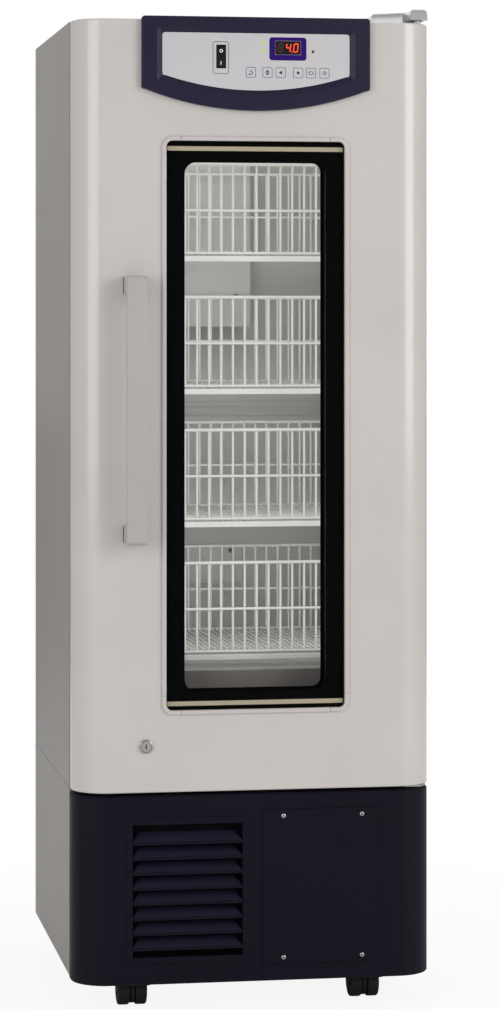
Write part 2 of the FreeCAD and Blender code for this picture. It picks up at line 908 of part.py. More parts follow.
def fascia_bezel():
    y0 = front_y - fascia_proud
    outer = prism(bowed_outline(fascia_half_width, fascia_top, fascia_corner_z, fascia_arc_z,
                                fascia_corner_cut, y0), (0, fascia_proud, 0))
    pocket = Part.makeLoft([overlay_outline(pocket_bevel, y0), overlay_outline(0, pocket_floor_y)], True, True)
    bezel = outer.cut(pocket)
    bezel = bezel.cut(Part.makeCompound(control_cutters(pocket_floor_y - fit_gap, front_y)))
    key_floor = pocket_floor_y + key_thickness + key_travel + fit_gap
    keys = [key_cutter(x, moving_gap, pocket_floor_y - fit_gap, key_floor) for x in key_centres_x]
    return bezel.cut(Part.makeCompound(keys))


def fascia_overlay():
    plate = prism(overlay_outline(-fit_gap, overlay_front_y), (0, overlay_thickness, 0))
    cutters = control_cutters(overlay_front_y, pocket_floor_y)
    cutters += [key_cutter(x, moving_gap, overlay_front_y, pocket_floor_y) for x in key_centres_x]
    return plate.cut(Part.makeCompound(cutters))


def control_key(x):
    y0 = overlay_front_y - key_proud
    return key_cutter(x, 0, y0, y0 + key_thickness + overlay_thickness)


def display_and_lamps():
    solids = [display_cutter(overlay_front_y, overlay_front_y + display_body_depth, 0)]
    for x, z in lamp_places():
        start = (x, overlay_front_y - lamp_proud, z)
        solids.append(facetted_rod(lamp_radius, start, (0, 1, 0), display_body_depth + lamp_proud))
    return solids


def control_board():
    y0 = overlay_front_y + display_body_depth
    side = controls_cavity_half_width - board_thickness
    board = box(-side, side, y0, y0 + board_thickness, controls_cavity_bottom, controls_cavity_top)
    return board.cut(switch_cutter(y0, y0 + board_thickness))


def rocker_switch():
    slope = switch_half_height * math.tan(math.radians(switch_tilt))
    tip = switch_ridge - slope
    axis_y = front_y + switch_axis_depth
    profile = [(switch_ridge, 0), (tip, switch_half_height), (0, switch_half_height),
               (-switch_back, switch_half_height / 3), (-switch_back, -switch_half_height / 3),
               (0, -switch_half_height), (tip, -switch_half_height)]
    points = [Vector(switch_x - switch_width / 2, axis_y - out, switch_z + up) for out, up in profile]
    body = prism(polygon(points), (switch_width, 0, 0))
    body.rotate(Vector(switch_x, axis_y, switch_z), Vector(1, 0, 0), switch_tilt)
    return body


# Lock with its cam, and the keeper on the apron
def lock_barrel():
    flange = rod(lock_flange_radius, (lock_x, front_y - lock_flange_proud, lock_z), (0, 1, 0), lock_flange_proud)
    round_edge = edges_where(flange, lambda b: b.YMax < front_y - lock_flange_proud + fit_gap)
    flange = flange.makeChamfer(lock_flange_proud / 2, round_edge)
    barrel = lock_block(front_y, door_back_y + keeper_wall)
    bore = rod(lock_plug_radius, (lock_x, front_y - lock_flange_proud, lock_z), (0, 1, 0),
               door_thickness + lock_flange_proud + keeper_wall)
    return fused([flange, barrel]).cut(bore)


def lock_plug():
    y0 = front_y - lock_flange_proud
    cam_y = door_back_y + lock_cam_offset
    plug = rod(lock_plug_radius - running_gap, (lock_x, y0, lock_z), (0, 1, 0),
               cam_y + lock_cam_thickness - y0)
    keyhole = box(lock_x - keyhole_width / 2, lock_x + keyhole_width / 2, y0, y0 + keyhole_depth,
                  lock_z - keyhole_height / 2, lock_z + keyhole_height / 2)
    half = lock_cam_width / 2
    cam = box(lock_x - half, lock_x + half, cam_y, cam_y + lock_cam_thickness, lock_z - lock_cam_length, lock_z)
    return fused([plug.cut(keyhole), cam])


def lock_keeper():
    web_x = lock_x - keeper_reach
    lip_y = door_back_y + keeper_lip_offset
    z0 = lock_z - keeper_height / 2
    z1 = lock_z + keeper_height / 2
    foot = box(web_x - keeper_plate, web_x, case_y - keeper_wall, case_y, z0, z1)
    web = box(web_x - keeper_wall, web_x, lip_y, case_y, z0, z1)
    lip = box(web_x - keeper_wall, web_x + keeper_lip, lip_y, lip_y + keeper_wall, z0, z1)
    return fused([foot, web, lip])


# Hinges: a cast bracket on the case top, a folded bracket below the door, and bushes in the door
def top_hinge():
    front = hinge_y - hinge_arm_front_reach
    back = hinge_plate_y + hinge_body_back
    plate_points = [(hinge_plate_left, hinge_plate_y), (hinge_plate_right, hinge_plate_y),
                    (hinge_plate_right, back + hinge_tail), (hinge_plate_left, back + hinge_tail)]
    plate = prism(polygon([Vector(x, y, case_top) for x, y in plate_points]),
                  (0, 0, hinge_arm_under - case_top))
    plan = [(hinge_arm_left, front), (hinge_plate_right, front), (hinge_plate_right, back),
            (hinge_plate_left, back), (hinge_plate_left, hinge_plate_y + hinge_tail),
            (hinge_arm_left, hinge_plate_y)]
    body = prism(polygon([Vector(x, y, hinge_arm_under) for x, y in plan]), (0, 0, hinge_arm_height))
    body = body.makeChamfer(hinge_body_taper, edges_where(body, lambda b: b.ZMin > hinge_top - fit_gap))
    pin = rod(hinge_pin_radius, (hinge_x, hinge_y, door_top - hinge_pin_depth), (0, 0, 1),
              hinge_arm_under - door_top + hinge_pin_depth)
    return fused([plate, body, pin])


def bottom_hinge():
    top = seam_z
    z0 = top - lower_hinge_plate
    front = hinge_y - hinge_arm_front_reach
    plate = box(lower_hinge_left, hinge_plate_right, front, case_y, z0, top)
    flange = box(lower_hinge_left, hinge_plate_right, case_y - lower_hinge_plate, case_y, z0,
                 z0 + lower_hinge_flange_height)
    pin = rod(hinge_pin_radius, (hinge_x, hinge_y, top), (0, 0, 1), hinge_pin_depth)
    return fused([plate, flange, pin])


def hinge_bushes():
    bore = rod(hinge_pin_radius + running_gap, (hinge_x, hinge_y, door_bottom), (0, 0, 1), door_top - door_bottom)
    return [block.cut(bore) for block in bush_blocks()]


# Front cover of the machine compartment with its grille and access plate
def base_cover():
    outer = front_plan(0, case_y, cover_bottom, cover_top)

    def top_edge(bound):
        return bound.ZMin > cover_top - fit_gap and bound.YMin < case_y - cover_edge

    outer = outer.makeChamfer(cover_edge, edges_where(outer, top_edge))
    hollow = front_plan(cover_wall, case_y, cover_bottom, cover_top - cover_wall - cover_edge / 2)
    cover = outer.cut(hollow)
    gap = fit_gap - grille_lap
    grille_hole = box(grille_left - gap, grille_right + gap, front_y, front_y + cover_wall,
                      grille_bottom - gap, grille_top + gap)
    plate_hole = box(plate_left + plate_lap, plate_right - plate_lap, front_y, front_y + cover_wall,
                     plate_bottom + plate_lap, plate_top - plate_lap)
    return cover.cut(grille_hole).cut(plate_hole)


def plate_screws():
    levels = (plate_bottom + plate_screw_inset, plate_top - plate_screw_inset)
    return [(x, z) for x in (plate_screw_left, plate_screw_right) for z in levels]


def louvre_grille():
    y0 = front_y - grille_flange_proud
    y1 = front_y + grille_depth
    open_x0 = grille_left + grille_border
    open_x1 = grille_right - grille_border
    open_z0 = grille_bottom + grille_border
    open_z1 = grille_top - grille_border
    flange = box(grille_left, grille_right, y0, front_y, grille_bottom, grille_top)
    lap = grille_lap
    sleeve = box(grille_left + lap, grille_right - lap, front_y, y1, grille_bottom + lap, grille_top - lap)
    frame = fused([flange, sleeve]).cut(box(open_x0, open_x1, y0, y1, open_z0, open_z1))
    louvres = []
    for index in range(louvre_count):
        z = louvre_lowest_z + index * louvre_pitch
        section = [(front_y, z), (front_y, z + louvre_lip), (front_y + louvre_run, z + louvre_lip + louvre_rise),
                   (front_y + louvre_run, z + louvre_lip + louvre_rise - louvre_wall),
                   (front_y + louvre_wall, z + louvre_wall), (front_y + louvre_wall, z)]
        points = [Vector(open_x0, y, height) for y, height in section]
        louvres.append(prism(polygon(points), (open_x1 - open_x0, 0, 0)))
    return fused([frame] + louvres)


def access_plate():
    y0 = front_y - plate_thickness
    plate = box(plate_left, plate_right, y0, front_y, plate_bottom, plate_top)
    front_edges = edges_where(plate, lambda b: b.YMax < y0 + fit_gap)
    return plate.makeChamfer(plate_thickness / 2, front_edges)


# Fixing screws: places under the heads, by the part that they hold
def duct_screws():
    return [(sx * duct_screw_x, cavity_back - duct_depth, duct_screw_z) for sx in (-1, 1)]


def lower_panel_screws():
    z = lower_panel_top - plate_screw_inset
    return [(sx * duct_screw_x, cavity_back - lower_panel_thickness, z) for sx in (-1, 1)]


def hinge_screws():
    y = case_y + hinge_body_back + hinge_tail / 2
    inset = hinge_tail / 2
    return [(x, y, hinge_arm_under) for x in (hinge_plate_left + inset, hinge_plate_right - inset)]


def fixing_screws():
    facing_front = [(x, front_y - plate_thickness, z) for x, z in plate_screws()]
    facing_front += duct_screws() + lower_panel_screws()
    heads = [facetted_rod(screw_head_radius, place, (0, -1, 0), screw_head) for place in facing_front]
    return heads + [facetted_rod(screw_head_radius, place, (0, 0, 1), screw_head) for place in hinge_screws()]


# Lower side panels, base frame and rear guard
def side_panels():
    panels = []
    for sign in (-1, 1):
        outer = half_width
        web = box(outer - sheet, outer, case_y, back_y, side_panel_bottom, seam_z)
        fold = box(outer - frame_flange, outer, case_y, case_y + sheet, side_panel_bottom, seam_z)
        panel = fused([web, fold])
        panels.append(panel if sign > 0 else panel.mirror(Vector(0, 0, 0), Vector(1, 0, 0)))
    return panels


def base_frame():
    side = half_width - sheet
    y0 = case_y + sheet
    y1 = back_sheet_y - sheet
    floor = box(-side, side, y0, y1, frame_floor, frame_floor + frame_sheet)
    tongue = box(-frame_front_half_width, frame_front_half_width, case_y - frame_front_reach, y0,
                 frame_floor, frame_floor + frame_sheet)
    parts = [floor, tongue]
    for x in (-side, side - frame_sheet):
        parts.append(box(x, x + frame_sheet, y0, y1, frame_floor, frame_floor + frame_flange))
    parts.append(box(-side, side, y1 - frame_sheet, y1, frame_floor, frame_floor + frame_flange))
    for x, y in caster_places.values():
        parts.append(box(x - socket_radius, x + socket_radius, y - socket_radius, y + socket_radius,
                         frame_floor, frame_floor + socket_height))
    frame = fused(parts)
    reach = caster_stem_radius + running_gap
    bores = [box(x - reach, x + reach, y - reach, y + reach, frame_floor,
                 frame_floor + caster_stem_length + moving_gap) for x, y in caster_places.values()]
    return frame.cut(Part.makeCompound(bores))


def rear_guard():
    side = half_width - sheet
    plate = box(-side, side, back_sheet_y - sheet, back_sheet_y, frame_floor, floor_slab_bottom)
    slots = []
    for row in range(guard_slot_row_count):
        z0 = guard_slot_start + row * guard_slot_pitch
        for x0 in (-guard_slot_gap / 2 - guard_slot_length, guard_slot_gap / 2):
            slots.append(box(x0, x0 + guard_slot_length, back_sheet_y - sheet, back_sheet_y,
                             z0, z0 + guard_slot_height))
    hole = box(inlet_x - inlet_width / 2, inlet_x + inlet_width / 2, back_sheet_y - sheet, back_sheet_y,
               inlet_z - inlet_height / 2, inlet_z + inlet_height / 2)
    return plate.cut(Part.makeCompound(slots)).cut(hole)


def mains_inlet():
    half_w = inlet_width / 2
    half_h = inlet_height / 2
    body = box(inlet_x - half_w, inlet_x + half_w, back_sheet_y - inlet_body_depth, back_sheet_y,
               inlet_z - half_h, inlet_z + half_h)
    flange = box(inlet_x - half_w - inlet_flange, inlet_x + half_w + inlet_flange,
                 back_sheet_y, back_sheet_y + inlet_flange_wall,
                 inlet_z - half_h - inlet_flange, inlet_z + half_h + inlet_flange)
    recess = box(inlet_x - half_w + inlet_wall, inlet_x + half_w - inlet_wall,
                 back_sheet_y - inlet_recess, back_sheet_y + inlet_flange_wall,
                 inlet_z - half_h + inlet_wall, inlet_z + half_h - inlet_wall)
    return fused([body, flange]).cut(recess)


# Refrigeration parts
def condenser():
    return finned_block(condenser_left, condenser_right, condenser_y, shroud_y, condenser_bottom,
                        condenser_top, condenser_fin_count, condenser_fin, condenser_header)


def condenser_shroud():
    y0 = shroud_y
    y1 = y0 + shroud_depth
    outer = box(condenser_left, condenser_right, y0, y1, frame_floor + frame_sheet, condenser_top)
    hollow = box(condenser_left + shroud_wall, condenser_right - shroud_wall, y0, y1 - shroud_wall,
                 condenser_bottom, condenser_top - shroud_wall)
    opening = rod(fan_radius + fan_tip_gap, (fan_x, y0, fan_z), (0, 1, 0), shroud_depth)
    lower = box(condenser_left + shroud_wall, condenser_right - shroud_wall, y0 + shroud_wall, y1,
                frame_floor + frame_sheet, condenser_bottom - shroud_wall)
    return outer.cut(hollow).cut(opening).cut(lower)


def fan(x, y, z, radius, hub_radius, hub_length, chord, shaft_radius):
    hub = facetted_rod(hub_radius, (x, y, z), (0, 1, 0), hub_length)
    parts = [hub]
    middle = y + hub_length / 2
    for index in range(fan_blade_count):
        blade = box(x - chord / 2, x + chord / 2, middle - fan_blade_wall / 2, middle + fan_blade_wall / 2,
                    z + hub_radius / 2, z + math.sqrt(radius ** 2 - (chord / 2) ** 2))
        blade.rotate(Vector(x, middle, z), Vector(0, 0, 1), fan_blade_pitch)
        blade.rotate(Vector(x, middle, z), Vector(0, 1, 0), index * 360 / fan_blade_count)
        parts.append(blade)
    bore = rod(shaft_radius + running_gap, (x, y, z), (0, 1, 0), hub_length)
    return fused(parts).cut(bore)


def fan_motor(x, y, z, radius, length, shaft_radius, shaft_length, arm_reach, arm_y):
    body = facetted_rod(radius, (x, y, z), (0, 1, 0), length)
    shaft = rod(shaft_radius, (x, y - shaft_length, z), (0, 1, 0), shaft_length)
    arm = box(x - arm_reach, x + arm_reach, arm_y, arm_y + motor_arm_wall,
              z - motor_arm_width / 2, z + motor_arm_width / 2)
    return fused([body, shaft, arm])


def compressor():
    base = frame_floor + frame_sheet + compressor_base
    x, y, r = compressor_x, compressor_y, compressor_radius
    dome = compressor_dome
    low = base + compressor_plate
    top = base + compressor_height

    shell = facetted_rod(r, (x, y, low), (0, 0, 1), top - low, shell_sides)
    shell = shell.makeChamfer(dome, edges_where(shell, lambda b: b.ZMin > top - fit_gap))
    plate = box(x - compressor_foot_x - grommet_radius, x + compressor_foot_x + grommet_radius,
                y - compressor_foot_y - grommet_radius, y + compressor_foot_y + grommet_radius, base, low)
    cover = box(x - terminal_box_width / 2, x + terminal_box_width / 2, y - r - terminal_box_depth / 2, y - r / 2,
                low + dome, low + dome + terminal_box_height)
    stub = facetted_rod(pipe_radius, (x - r / 2, y, top - dome), (0, 0, 1), dome + pipe_stub)
    return fused([shell, plate, cover, stub])


def compressor_mounts():
    mounts = []
    z = frame_floor + frame_sheet
    for sx in (-1, 1):
        for sy in (-1, 1):
            place = (compressor_x + sx * compressor_foot_x, compressor_y + sy * compressor_foot_y, z)
            mounts.append(facetted_rod(grommet_radius, place, (0, 0, 1), compressor_base))
    return mounts


def drain_tray():
    z0 = frame_floor + frame_sheet
    outer = box(tray_left, tray_right, tray_front, tray_back, z0, z0 + tray_height)
    inner = box(tray_left + tray_wall, tray_right - tray_wall, tray_front + tray_wall, tray_back - tray_wall,
                z0 + tray_wall, z0 + tray_height)
    return outer.cut(inner)


# Casters
def caster_fork(x, y):
    axle_y = y + caster_trail
    top = frame_floor - moving_gap
    hood = box(x - caster_hood_half_width, x + caster_hood_half_width, y - caster_hood_front,
               y + caster_hood_back, caster_hood_bottom, top)
    corners = edges_where(hood, lambda b: b.ZLength > top - caster_hood_bottom - fit_gap)
    hood = hood.makeChamfer(caster_hood_round, corners)
    reach = caster_wheel_radius + caster_wheel_gap
    cut_half = caster_half_width + caster_wheel_gap
    gap_inner = caster_web / 2
    wells = []
    for start in (x - cut_half, x + gap_inner):
        wells.append(rod(reach, (start, axle_y, caster_wheel_radius), (1, 0, 0), cut_half - gap_inner))
    neck = box(x - gap_inner, x + gap_inner, axle_y - caster_hub_radius, axle_y + caster_hub_radius,
               caster_wheel_radius - caster_hub_radius, top)
    stem = facetted_rod(caster_stem_radius, (x, y, top), (0, 0, 1), caster_stem_length)
    body = fused([hood.cut(Part.makeCompound(wells)), neck, stem])
    reach = caster_axle_radius + running_gap
    return body.cut(box(x - gap_inner, x + gap_inner, axle_y - reach, axle_y + reach,
                        caster_wheel_radius - reach, caster_wheel_radius + reach))


def caster_wheels(x, y):
    axle_y = y + caster_trail
    inner = caster_web / 2 + moving_gap
    axle = facetted_rod(caster_axle_radius, (x - inner, axle_y, caster_wheel_radius), (1, 0, 0), 2 * inner)
    wheels = [facetted_rod(caster_wheel_radius, (start, axle_y, caster_wheel_radius), (1, 0, 0),
                           caster_half_width - inner, wheel_sides)
              for start in (x - caster_half_width, x + inner)]
    return fused([axle] + wheels)


# Write every sub-part
save("case_wrap", case_wrap())
save("case_back", case_back())
save("case_insulation", *case_insulation())
save("inner_liner", inner_liner())
save("basket_runners", *[basket_runner(side, basket_bottom(index))
                         for index in range(basket_count) for side in (-1, 1)])
for index in range(basket_count):
    save("basket_%d" % (index + 1), *basket_shapes(index))
save("duct_covers", duct_cover(), lower_duct_panel())
save("evaporator", evaporator())
save("interior_lamp", interior_lamp())

save("door_skin", door_skin())
save("door_insulation", *door_insulation())
save("door_liner", door_liner())
save("door_gasket", door_gasket())
save("window_outer_pane", window_outer_pane())
save("window_surround", window_surround(), *window_strips())
save("window_inner_pane", window_inner_pane())
save("window_trim", *window_trim())
save("handle", handle())
save("fascia_bezel", fascia_bezel())
save("fascia_overlay", fascia_overlay())
save("control_board", control_board(), *display_and_lamps())
for index, key_x in enumerate(key_centres_x):
    save("control_key_%d" % (index + 1), control_key(key_x))
save("rocker_switch", rocker_switch())
save("lock_barrel", lock_barrel())
save("lock_plug", lock_plug())
save("lock_keeper", lock_keeper())
save("top_hinge", top_hinge())
save("bottom_hinge", bottom_hinge())
save("hinge_bushes", *hinge_bushes())

save("base_cover", base_cover())
save("louvre_grille", louvre_grille())
save("access_plate", access_plate())
save("fixing_screws", *fixing_screws())
save("side_panels", *side_panels())
save("base_frame", base_frame())
save("rear_guard", rear_guard())
save("mains_inlet", mains_inlet())
save("condenser", condenser())
save("condenser_shroud", condenser_shroud())
motor_y = shroud_y + shroud_depth
hub_y = motor_y - moving_gap - fan_hub_length
save("condenser_fan", fan(fan_x, hub_y, fan_z, fan_radius, fan_hub_radius, fan_hub_length, fan_blade_chord,
                          fan_shaft_radius))
small_hub_y = cavity_back - duct_depth + 4 * duct_wall
small_motor_y = small_hub_y + small_hub_length + moving_gap
save("fan_motors",
     fan_motor(fan_x, motor_y, fan_z, motor_radius, motor_length, fan_shaft_radius, fan_hub_length / 2,
               (condenser_right - condenser_left) / 2, motor_y),
     fan_motor(0, small_motor_y, duct_fan_z, small_motor_radius, small_motor_length, fan_shaft_radius,
               small_hub_length / 2, duct_half_width - duct_wall, small_motor_y))
save("evaporator_fan", fan(0, small_hub_y, duct_fan_z, small_fan_radius, small_hub_radius, small_hub_length,
                           small_blade_chord, fan_shaft_radius))
save("compressor", compressor(), *compressor_mounts())
save("drain_tray", drain_tray())
for place, (x, y) in caster_places.items():
    save("caster_fork_" + place, caster_fork(x, y))
    save("caster_wheels_" + place, caster_wheels(x, y))
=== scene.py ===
import bpy
import bmesh
import json
import math
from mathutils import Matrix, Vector


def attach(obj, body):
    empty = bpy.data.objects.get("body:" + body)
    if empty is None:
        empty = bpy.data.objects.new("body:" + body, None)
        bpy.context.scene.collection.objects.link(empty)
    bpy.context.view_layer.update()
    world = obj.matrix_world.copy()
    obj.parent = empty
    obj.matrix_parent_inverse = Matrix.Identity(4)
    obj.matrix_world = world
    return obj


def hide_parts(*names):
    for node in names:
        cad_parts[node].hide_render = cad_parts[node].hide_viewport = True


# Looks of an upright blood bank refrigerator. Lengths in this script are millimetres unless a name
# says otherwise; meshes are written in metres. The door faces -Y.
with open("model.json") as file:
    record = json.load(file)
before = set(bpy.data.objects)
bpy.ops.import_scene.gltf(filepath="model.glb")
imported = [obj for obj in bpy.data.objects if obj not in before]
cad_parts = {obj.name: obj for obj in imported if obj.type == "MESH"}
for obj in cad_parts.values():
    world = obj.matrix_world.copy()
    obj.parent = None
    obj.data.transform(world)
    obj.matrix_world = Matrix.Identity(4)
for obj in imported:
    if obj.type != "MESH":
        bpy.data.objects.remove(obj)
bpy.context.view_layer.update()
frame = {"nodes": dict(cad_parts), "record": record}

HALF = 277.5
FRONT = -263.5
DOOR_BACK = -205.5
CASE = -193.5
BACK = 306.5
TOP = 1508.0
SEAM = 335.0
DOOR_BOTTOM = 335.8
CORNER = 54.0


# ---------------------------------------------------------------- materials
def linear(rgb):
    return [((c / 255 + 0.055) / 1.055) ** 2.4 if c > 10 else c / 255 / 12.92 for c in rgb]


def material(name, rgb, rough, metallic=0.0, grain=0.02, grain_size=1.2, blotch=0.03, blotch_size=180.0,
             alpha=1.0, coat=0.0, glow=0.0, rough_change=0.06, stretch=(1, 1, 1), spangle=0.0, shine=0.5):
    """Paint, plastic or metal: slow colour change, fine grain in the relief and uneven gloss."""
    m = bpy.data.materials.new(name)
    m.use_nodes = True
    nodes, links = m.node_tree.nodes, m.node_tree.links
    shader = nodes["Principled BSDF"]
    place = nodes.new("ShaderNodeTexCoord")
    spread = nodes.new("ShaderNodeMapping")
    spread.inputs["Scale"].default_value = stretch
    links.new(place.outputs["Object"], spread.inputs["Vector"])

    def noise(size, detail):
        n = nodes.new("ShaderNodeTexNoise")
        n.inputs["Scale"].default_value = 1000.0 / size
        n.inputs["Detail"].default_value = detail
        links.new(spread.outputs["Vector"], n.inputs["Vector"])
        return n

    slow, fine = noise(blotch_size, 3.0), noise(grain_size, 2.0)
    ramp = nodes.new("ShaderNodeValToRGB")
    colour = linear(rgb)
    ramp.color_ramp.elements[0].position = 0.3
    ramp.color_ramp.elements[1].position = 0.7
    ramp.color_ramp.elements[0].color = [c * (1 - blotch) for c in colour] + [1]
    ramp.color_ramp.elements[1].color = [min(c * (1 + blotch), 1) for c in colour] + [1]
    source = slow.outputs["Fac"]
    if spangle:
        cells = nodes.new("ShaderNodeTexVoronoi")
        cells.inputs["Scale"].default_value = 1000.0 / spangle
        links.new(spread.outputs["Vector"], cells.inputs["Vector"])
        grey = nodes.new("ShaderNodeSeparateColor")
        links.new(cells.outputs["Color"], grey.inputs["Color"])
        source = grey.outputs["Red"]
    links.new(source, ramp.inputs["Fac"])
    links.new(ramp.outputs["Color"], shader.inputs["Base Color"])
    gloss = nodes.new("ShaderNodeMapRange")
    gloss.inputs["To Min"].default_value = max(rough - rough_change, 0.02)
    gloss.inputs["To Max"].default_value = min(rough + rough_change, 1.0)
    links.new(slow.outputs["Fac"], gloss.inputs["Value"])
    links.new(gloss.outputs["Result"], shader.inputs["Roughness"])
    if grain:
        relief = nodes.new("ShaderNodeBump")
        relief.inputs["Strength"].default_value = 1.0
        relief.inputs["Distance"].default_value = grain * 0.001
        links.new(fine.outputs["Fac"], relief.inputs["Height"])
        links.new(relief.outputs["Normal"], shader.inputs["Normal"])
    shader.inputs["Metallic"].default_value = metallic
    shader.inputs["Coat Weight"].default_value = coat
    shader.inputs["Coat Roughness"].default_value = 0.14
    shader.inputs["Alpha"].default_value = alpha
    shader.inputs["Specular IOR Level"].default_value = shine
    if glow:
        shader.inputs["Emission Color"].default_value = colour + [1]
        shader.inputs["Emission Strength"].default_value = glow
    return m


M = {
    "grey_paint": material("grey_paint", (138, 133, 129), 0.45, grain=0.03, grain_size=2.0),
    "door_paint": material("door_paint", (199, 194, 190), 0.40, grain=0.02, grain_size=2.2, coat=0.7),
    "galvanised": material("galvanised", (176, 178, 180), 0.42, 0.85, grain=0.01, blotch=0.05, spangle=7.0),
    "insulation": material("insulation", (226, 212, 168), 0.95, grain=0.3, grain_size=2.5),
    "liner_grey": material("liner_grey", (196, 195, 192), 0.35, grain=0.01, grain_size=3.0),
    "duct_grey": material("duct_grey", (204, 204, 201), 0.38, grain=0.015, grain_size=2.0),
    "coated_wire": material("coated_wire", (228, 228, 224), 0.30, grain=0.02, grain_size=1.5, coat=0.2),
    "aluminium": material("aluminium", (196, 197, 200), 0.38, 0.9, grain=0.02, stretch=(1, 1, 0.05)),
    "lamp_white": material("lamp_white", (250, 250, 244), 0.5, glow=5.0, grain=0.0),
    "gasket_grey": material("gasket_grey", (150, 148, 146), 0.6, grain=0.04, grain_size=0.8),
    "glass": material("glass", (20, 25, 25), 0.22, alpha=0.04, grain=0.0, rough_change=0.01, blotch=0.02, shine=0.05),
    "surround_black": material("surround_black", (4, 4, 5), 0.5, grain=0.0, shine=0.03),
    "trim_grey": material("trim_grey", (197, 191, 190), 0.34, grain=0.01, grain_size=1.0),
    "strip_cream": material("strip_cream", (184, 174, 148), 0.5, grain=0.02),
    "handle_grey": material("handle_grey", (176, 172, 169), 0.36, grain=0.015, grain_size=1.5, coat=0.15),
    "navy_plastic": material("navy_plastic", (14, 11, 24), 0.50, grain=0.05, grain_size=0.9, blotch=0.06, shine=0.12),
    # A lighter copy of the navy plastic for the slanted louvre faces: painted light, for the light that falls on them
    # from above.
    "slat_navy": material("slat_navy", (27, 23, 42), 0.5, grain=0.04, grain_size=0.9, blotch=0.06, shine=0.25),
    "fascia_navy": material("fascia_navy", (29, 26, 50), 0.42, grain=0.03, grain_size=0.9, blotch=0.05, shine=0.25),
    "silver_film": material("silver_film", (202, 199, 202), 0.40, 0.15, grain=0.008, grain_size=0.5,
                            stretch=(0.05, 1, 1)),
    "print_grey": material("print_grey", (84, 84, 94), 0.5, grain=0.0, shine=0.2),
    "print_navy": material("print_navy", (38, 34, 84), 0.5, grain=0.0, shine=0.2),
    # The white print glows a little: painted light, since the print is no lamp.
    "print_white_painted_glow": material("print_white_painted_glow", (232, 232, 232), 0.5, grain=0.0, glow=0.25),
    "panel_purple": material("panel_purple", (48, 20, 106), 0.55, grain=0.005, shine=0.06),
    "black_plastic": material("black_plastic", (14, 14, 17), 0.3, grain=0.01, shine=0.3),
    "digit_lit": material("digit_lit", (246, 62, 36), 0.5, glow=1.1, grain=0.0),
    "digit_dark": material("digit_dark", (72, 40, 34), 0.5, grain=0.0),
    "lens_green": material("lens_green", (170, 205, 60), 0.2, glow=0.25, grain=0.0, coat=0.5),
    "lens_clear": material("lens_clear", (200, 200, 196), 0.2, grain=0.0, coat=0.5),
    "lens_red": material("lens_red", (96, 20, 18), 0.2, grain=0.0, coat=0.5),
    "board_green": material("board_green", (40, 92, 60), 0.5, grain=0.05),
    "nickel": material("nickel", (190, 187, 180), 0.24, 0.95, grain=0.005, grain_size=0.6),
    "zinc_casting": material("zinc_casting", (188, 188, 190), 0.38, 0.75, grain=0.03, grain_size=1.2),
    "nylon": material("nylon", (222, 219, 210), 0.5, grain=0.02),
    "steel_screw": material("steel_screw", (184, 184, 186), 0.3, 0.9, grain=0.006, grain_size=0.8),
    "compressor_black": material("compressor_black", (24, 24, 26), 0.35, grain=0.03, shine=0.3),
    "caster_black": material("caster_black", (17, 16, 18), 0.42, grain=0.03, grain_size=0.9, shine=0.3),
    "caster_tyre": material("caster_tyre", (20, 20, 22), 0.55, grain=0.04, grain_size=0.8, shine=0.3),
    "copper": material("copper", (186, 118, 82), 0.3, 0.9, grain=0.006),
    # Near-black for recesses, slots and the insides of hollow parts: painted shade, not a colour of the object.
    "dark_gap": material("dark_gap", (7, 7, 8), 0.8, grain=0.0, shine=0.1),
}
slots = {row["node"]: row["material_slot"] for row in frame["record"]["subparts"]}
for node, shown in frame["nodes"].items():
    shown.data.materials.clear()
    shown.data.materials.append(M[slots[node]])


# ---------------------------------------------------------------- mesh helpers
def finish_mesh(name, mesh, mat, body, replaces=(), slot=None, bevel=0.0, segments=3, sharp=32.0):
    mesh.materials.append(M[mat])
    bm = bmesh.new()
    bm.from_mesh(mesh)
    bmesh.ops.remove_doubles(bm, verts=bm.verts, dist=1e-6)
    bmesh.ops.recalc_face_normals(bm, faces=bm.faces)
    for face in bm.faces:
        face.smooth = True
        face.material_index = 0
    for edge in bm.edges:
        if len(edge.link_faces) == 2 and edge.calc_face_angle(0) > math.radians(sharp):
            edge.smooth = False
    bm.to_mesh(mesh)
    bm.free()
    piece = bpy.data.objects.new(name, mesh)
    bpy.context.scene.collection.objects.link(piece)
    if bevel:
        mod = piece.modifiers.new("edge", "BEVEL")
        mod.width = bevel * 0.001
        mod.segments = segments
        mod.limit_method = "ANGLE"
        mod.angle_limit = math.radians(35)
        mod.harden_normals = True
    even = piece.modifiers.new("normals", "WEIGHTED_NORMAL")
    even.keep_sharp = True
    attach(piece, body)
    if replaces:
        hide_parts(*replaces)
    return piece


def make(name, verts, faces, mat, body, **more):
    mesh = bpy.data.meshes.new(name)
    mesh.from_pydata([[c * 0.001 for c in v] for v in verts], [], faces)
    return finish_mesh(name, mesh, mat, body, **more)


def merged(parts):
    """Several (verts, faces) in one."""
    verts, faces = [], []
    for v, f in parts:
        faces += [[i + len(verts) for i in face] for face in f]
        verts += v
    return verts, faces


def loft(loops, closed=True, caps=(True, True), skip=None):
    """Skin through loops of the same number of points. skip(level, step) leaves out a face."""
    count = len(loops[0])
    verts = [p for loop in loops for p in loop]
    faces = []
    for level in range(len(loops) - 1):
        for step in range(count if closed else count - 1):
            if skip and skip(level, step):
                continue
            a, b = level * count + step, level * count + (step + 1) % count
            faces.append([a, b, b + count, a + count])
    if caps[0]:
        faces.append(list(range(count))[::-1])
    if caps[1]:
        faces.append([(len(loops) - 1) * count + i for i in range(count)])
    return verts, faces


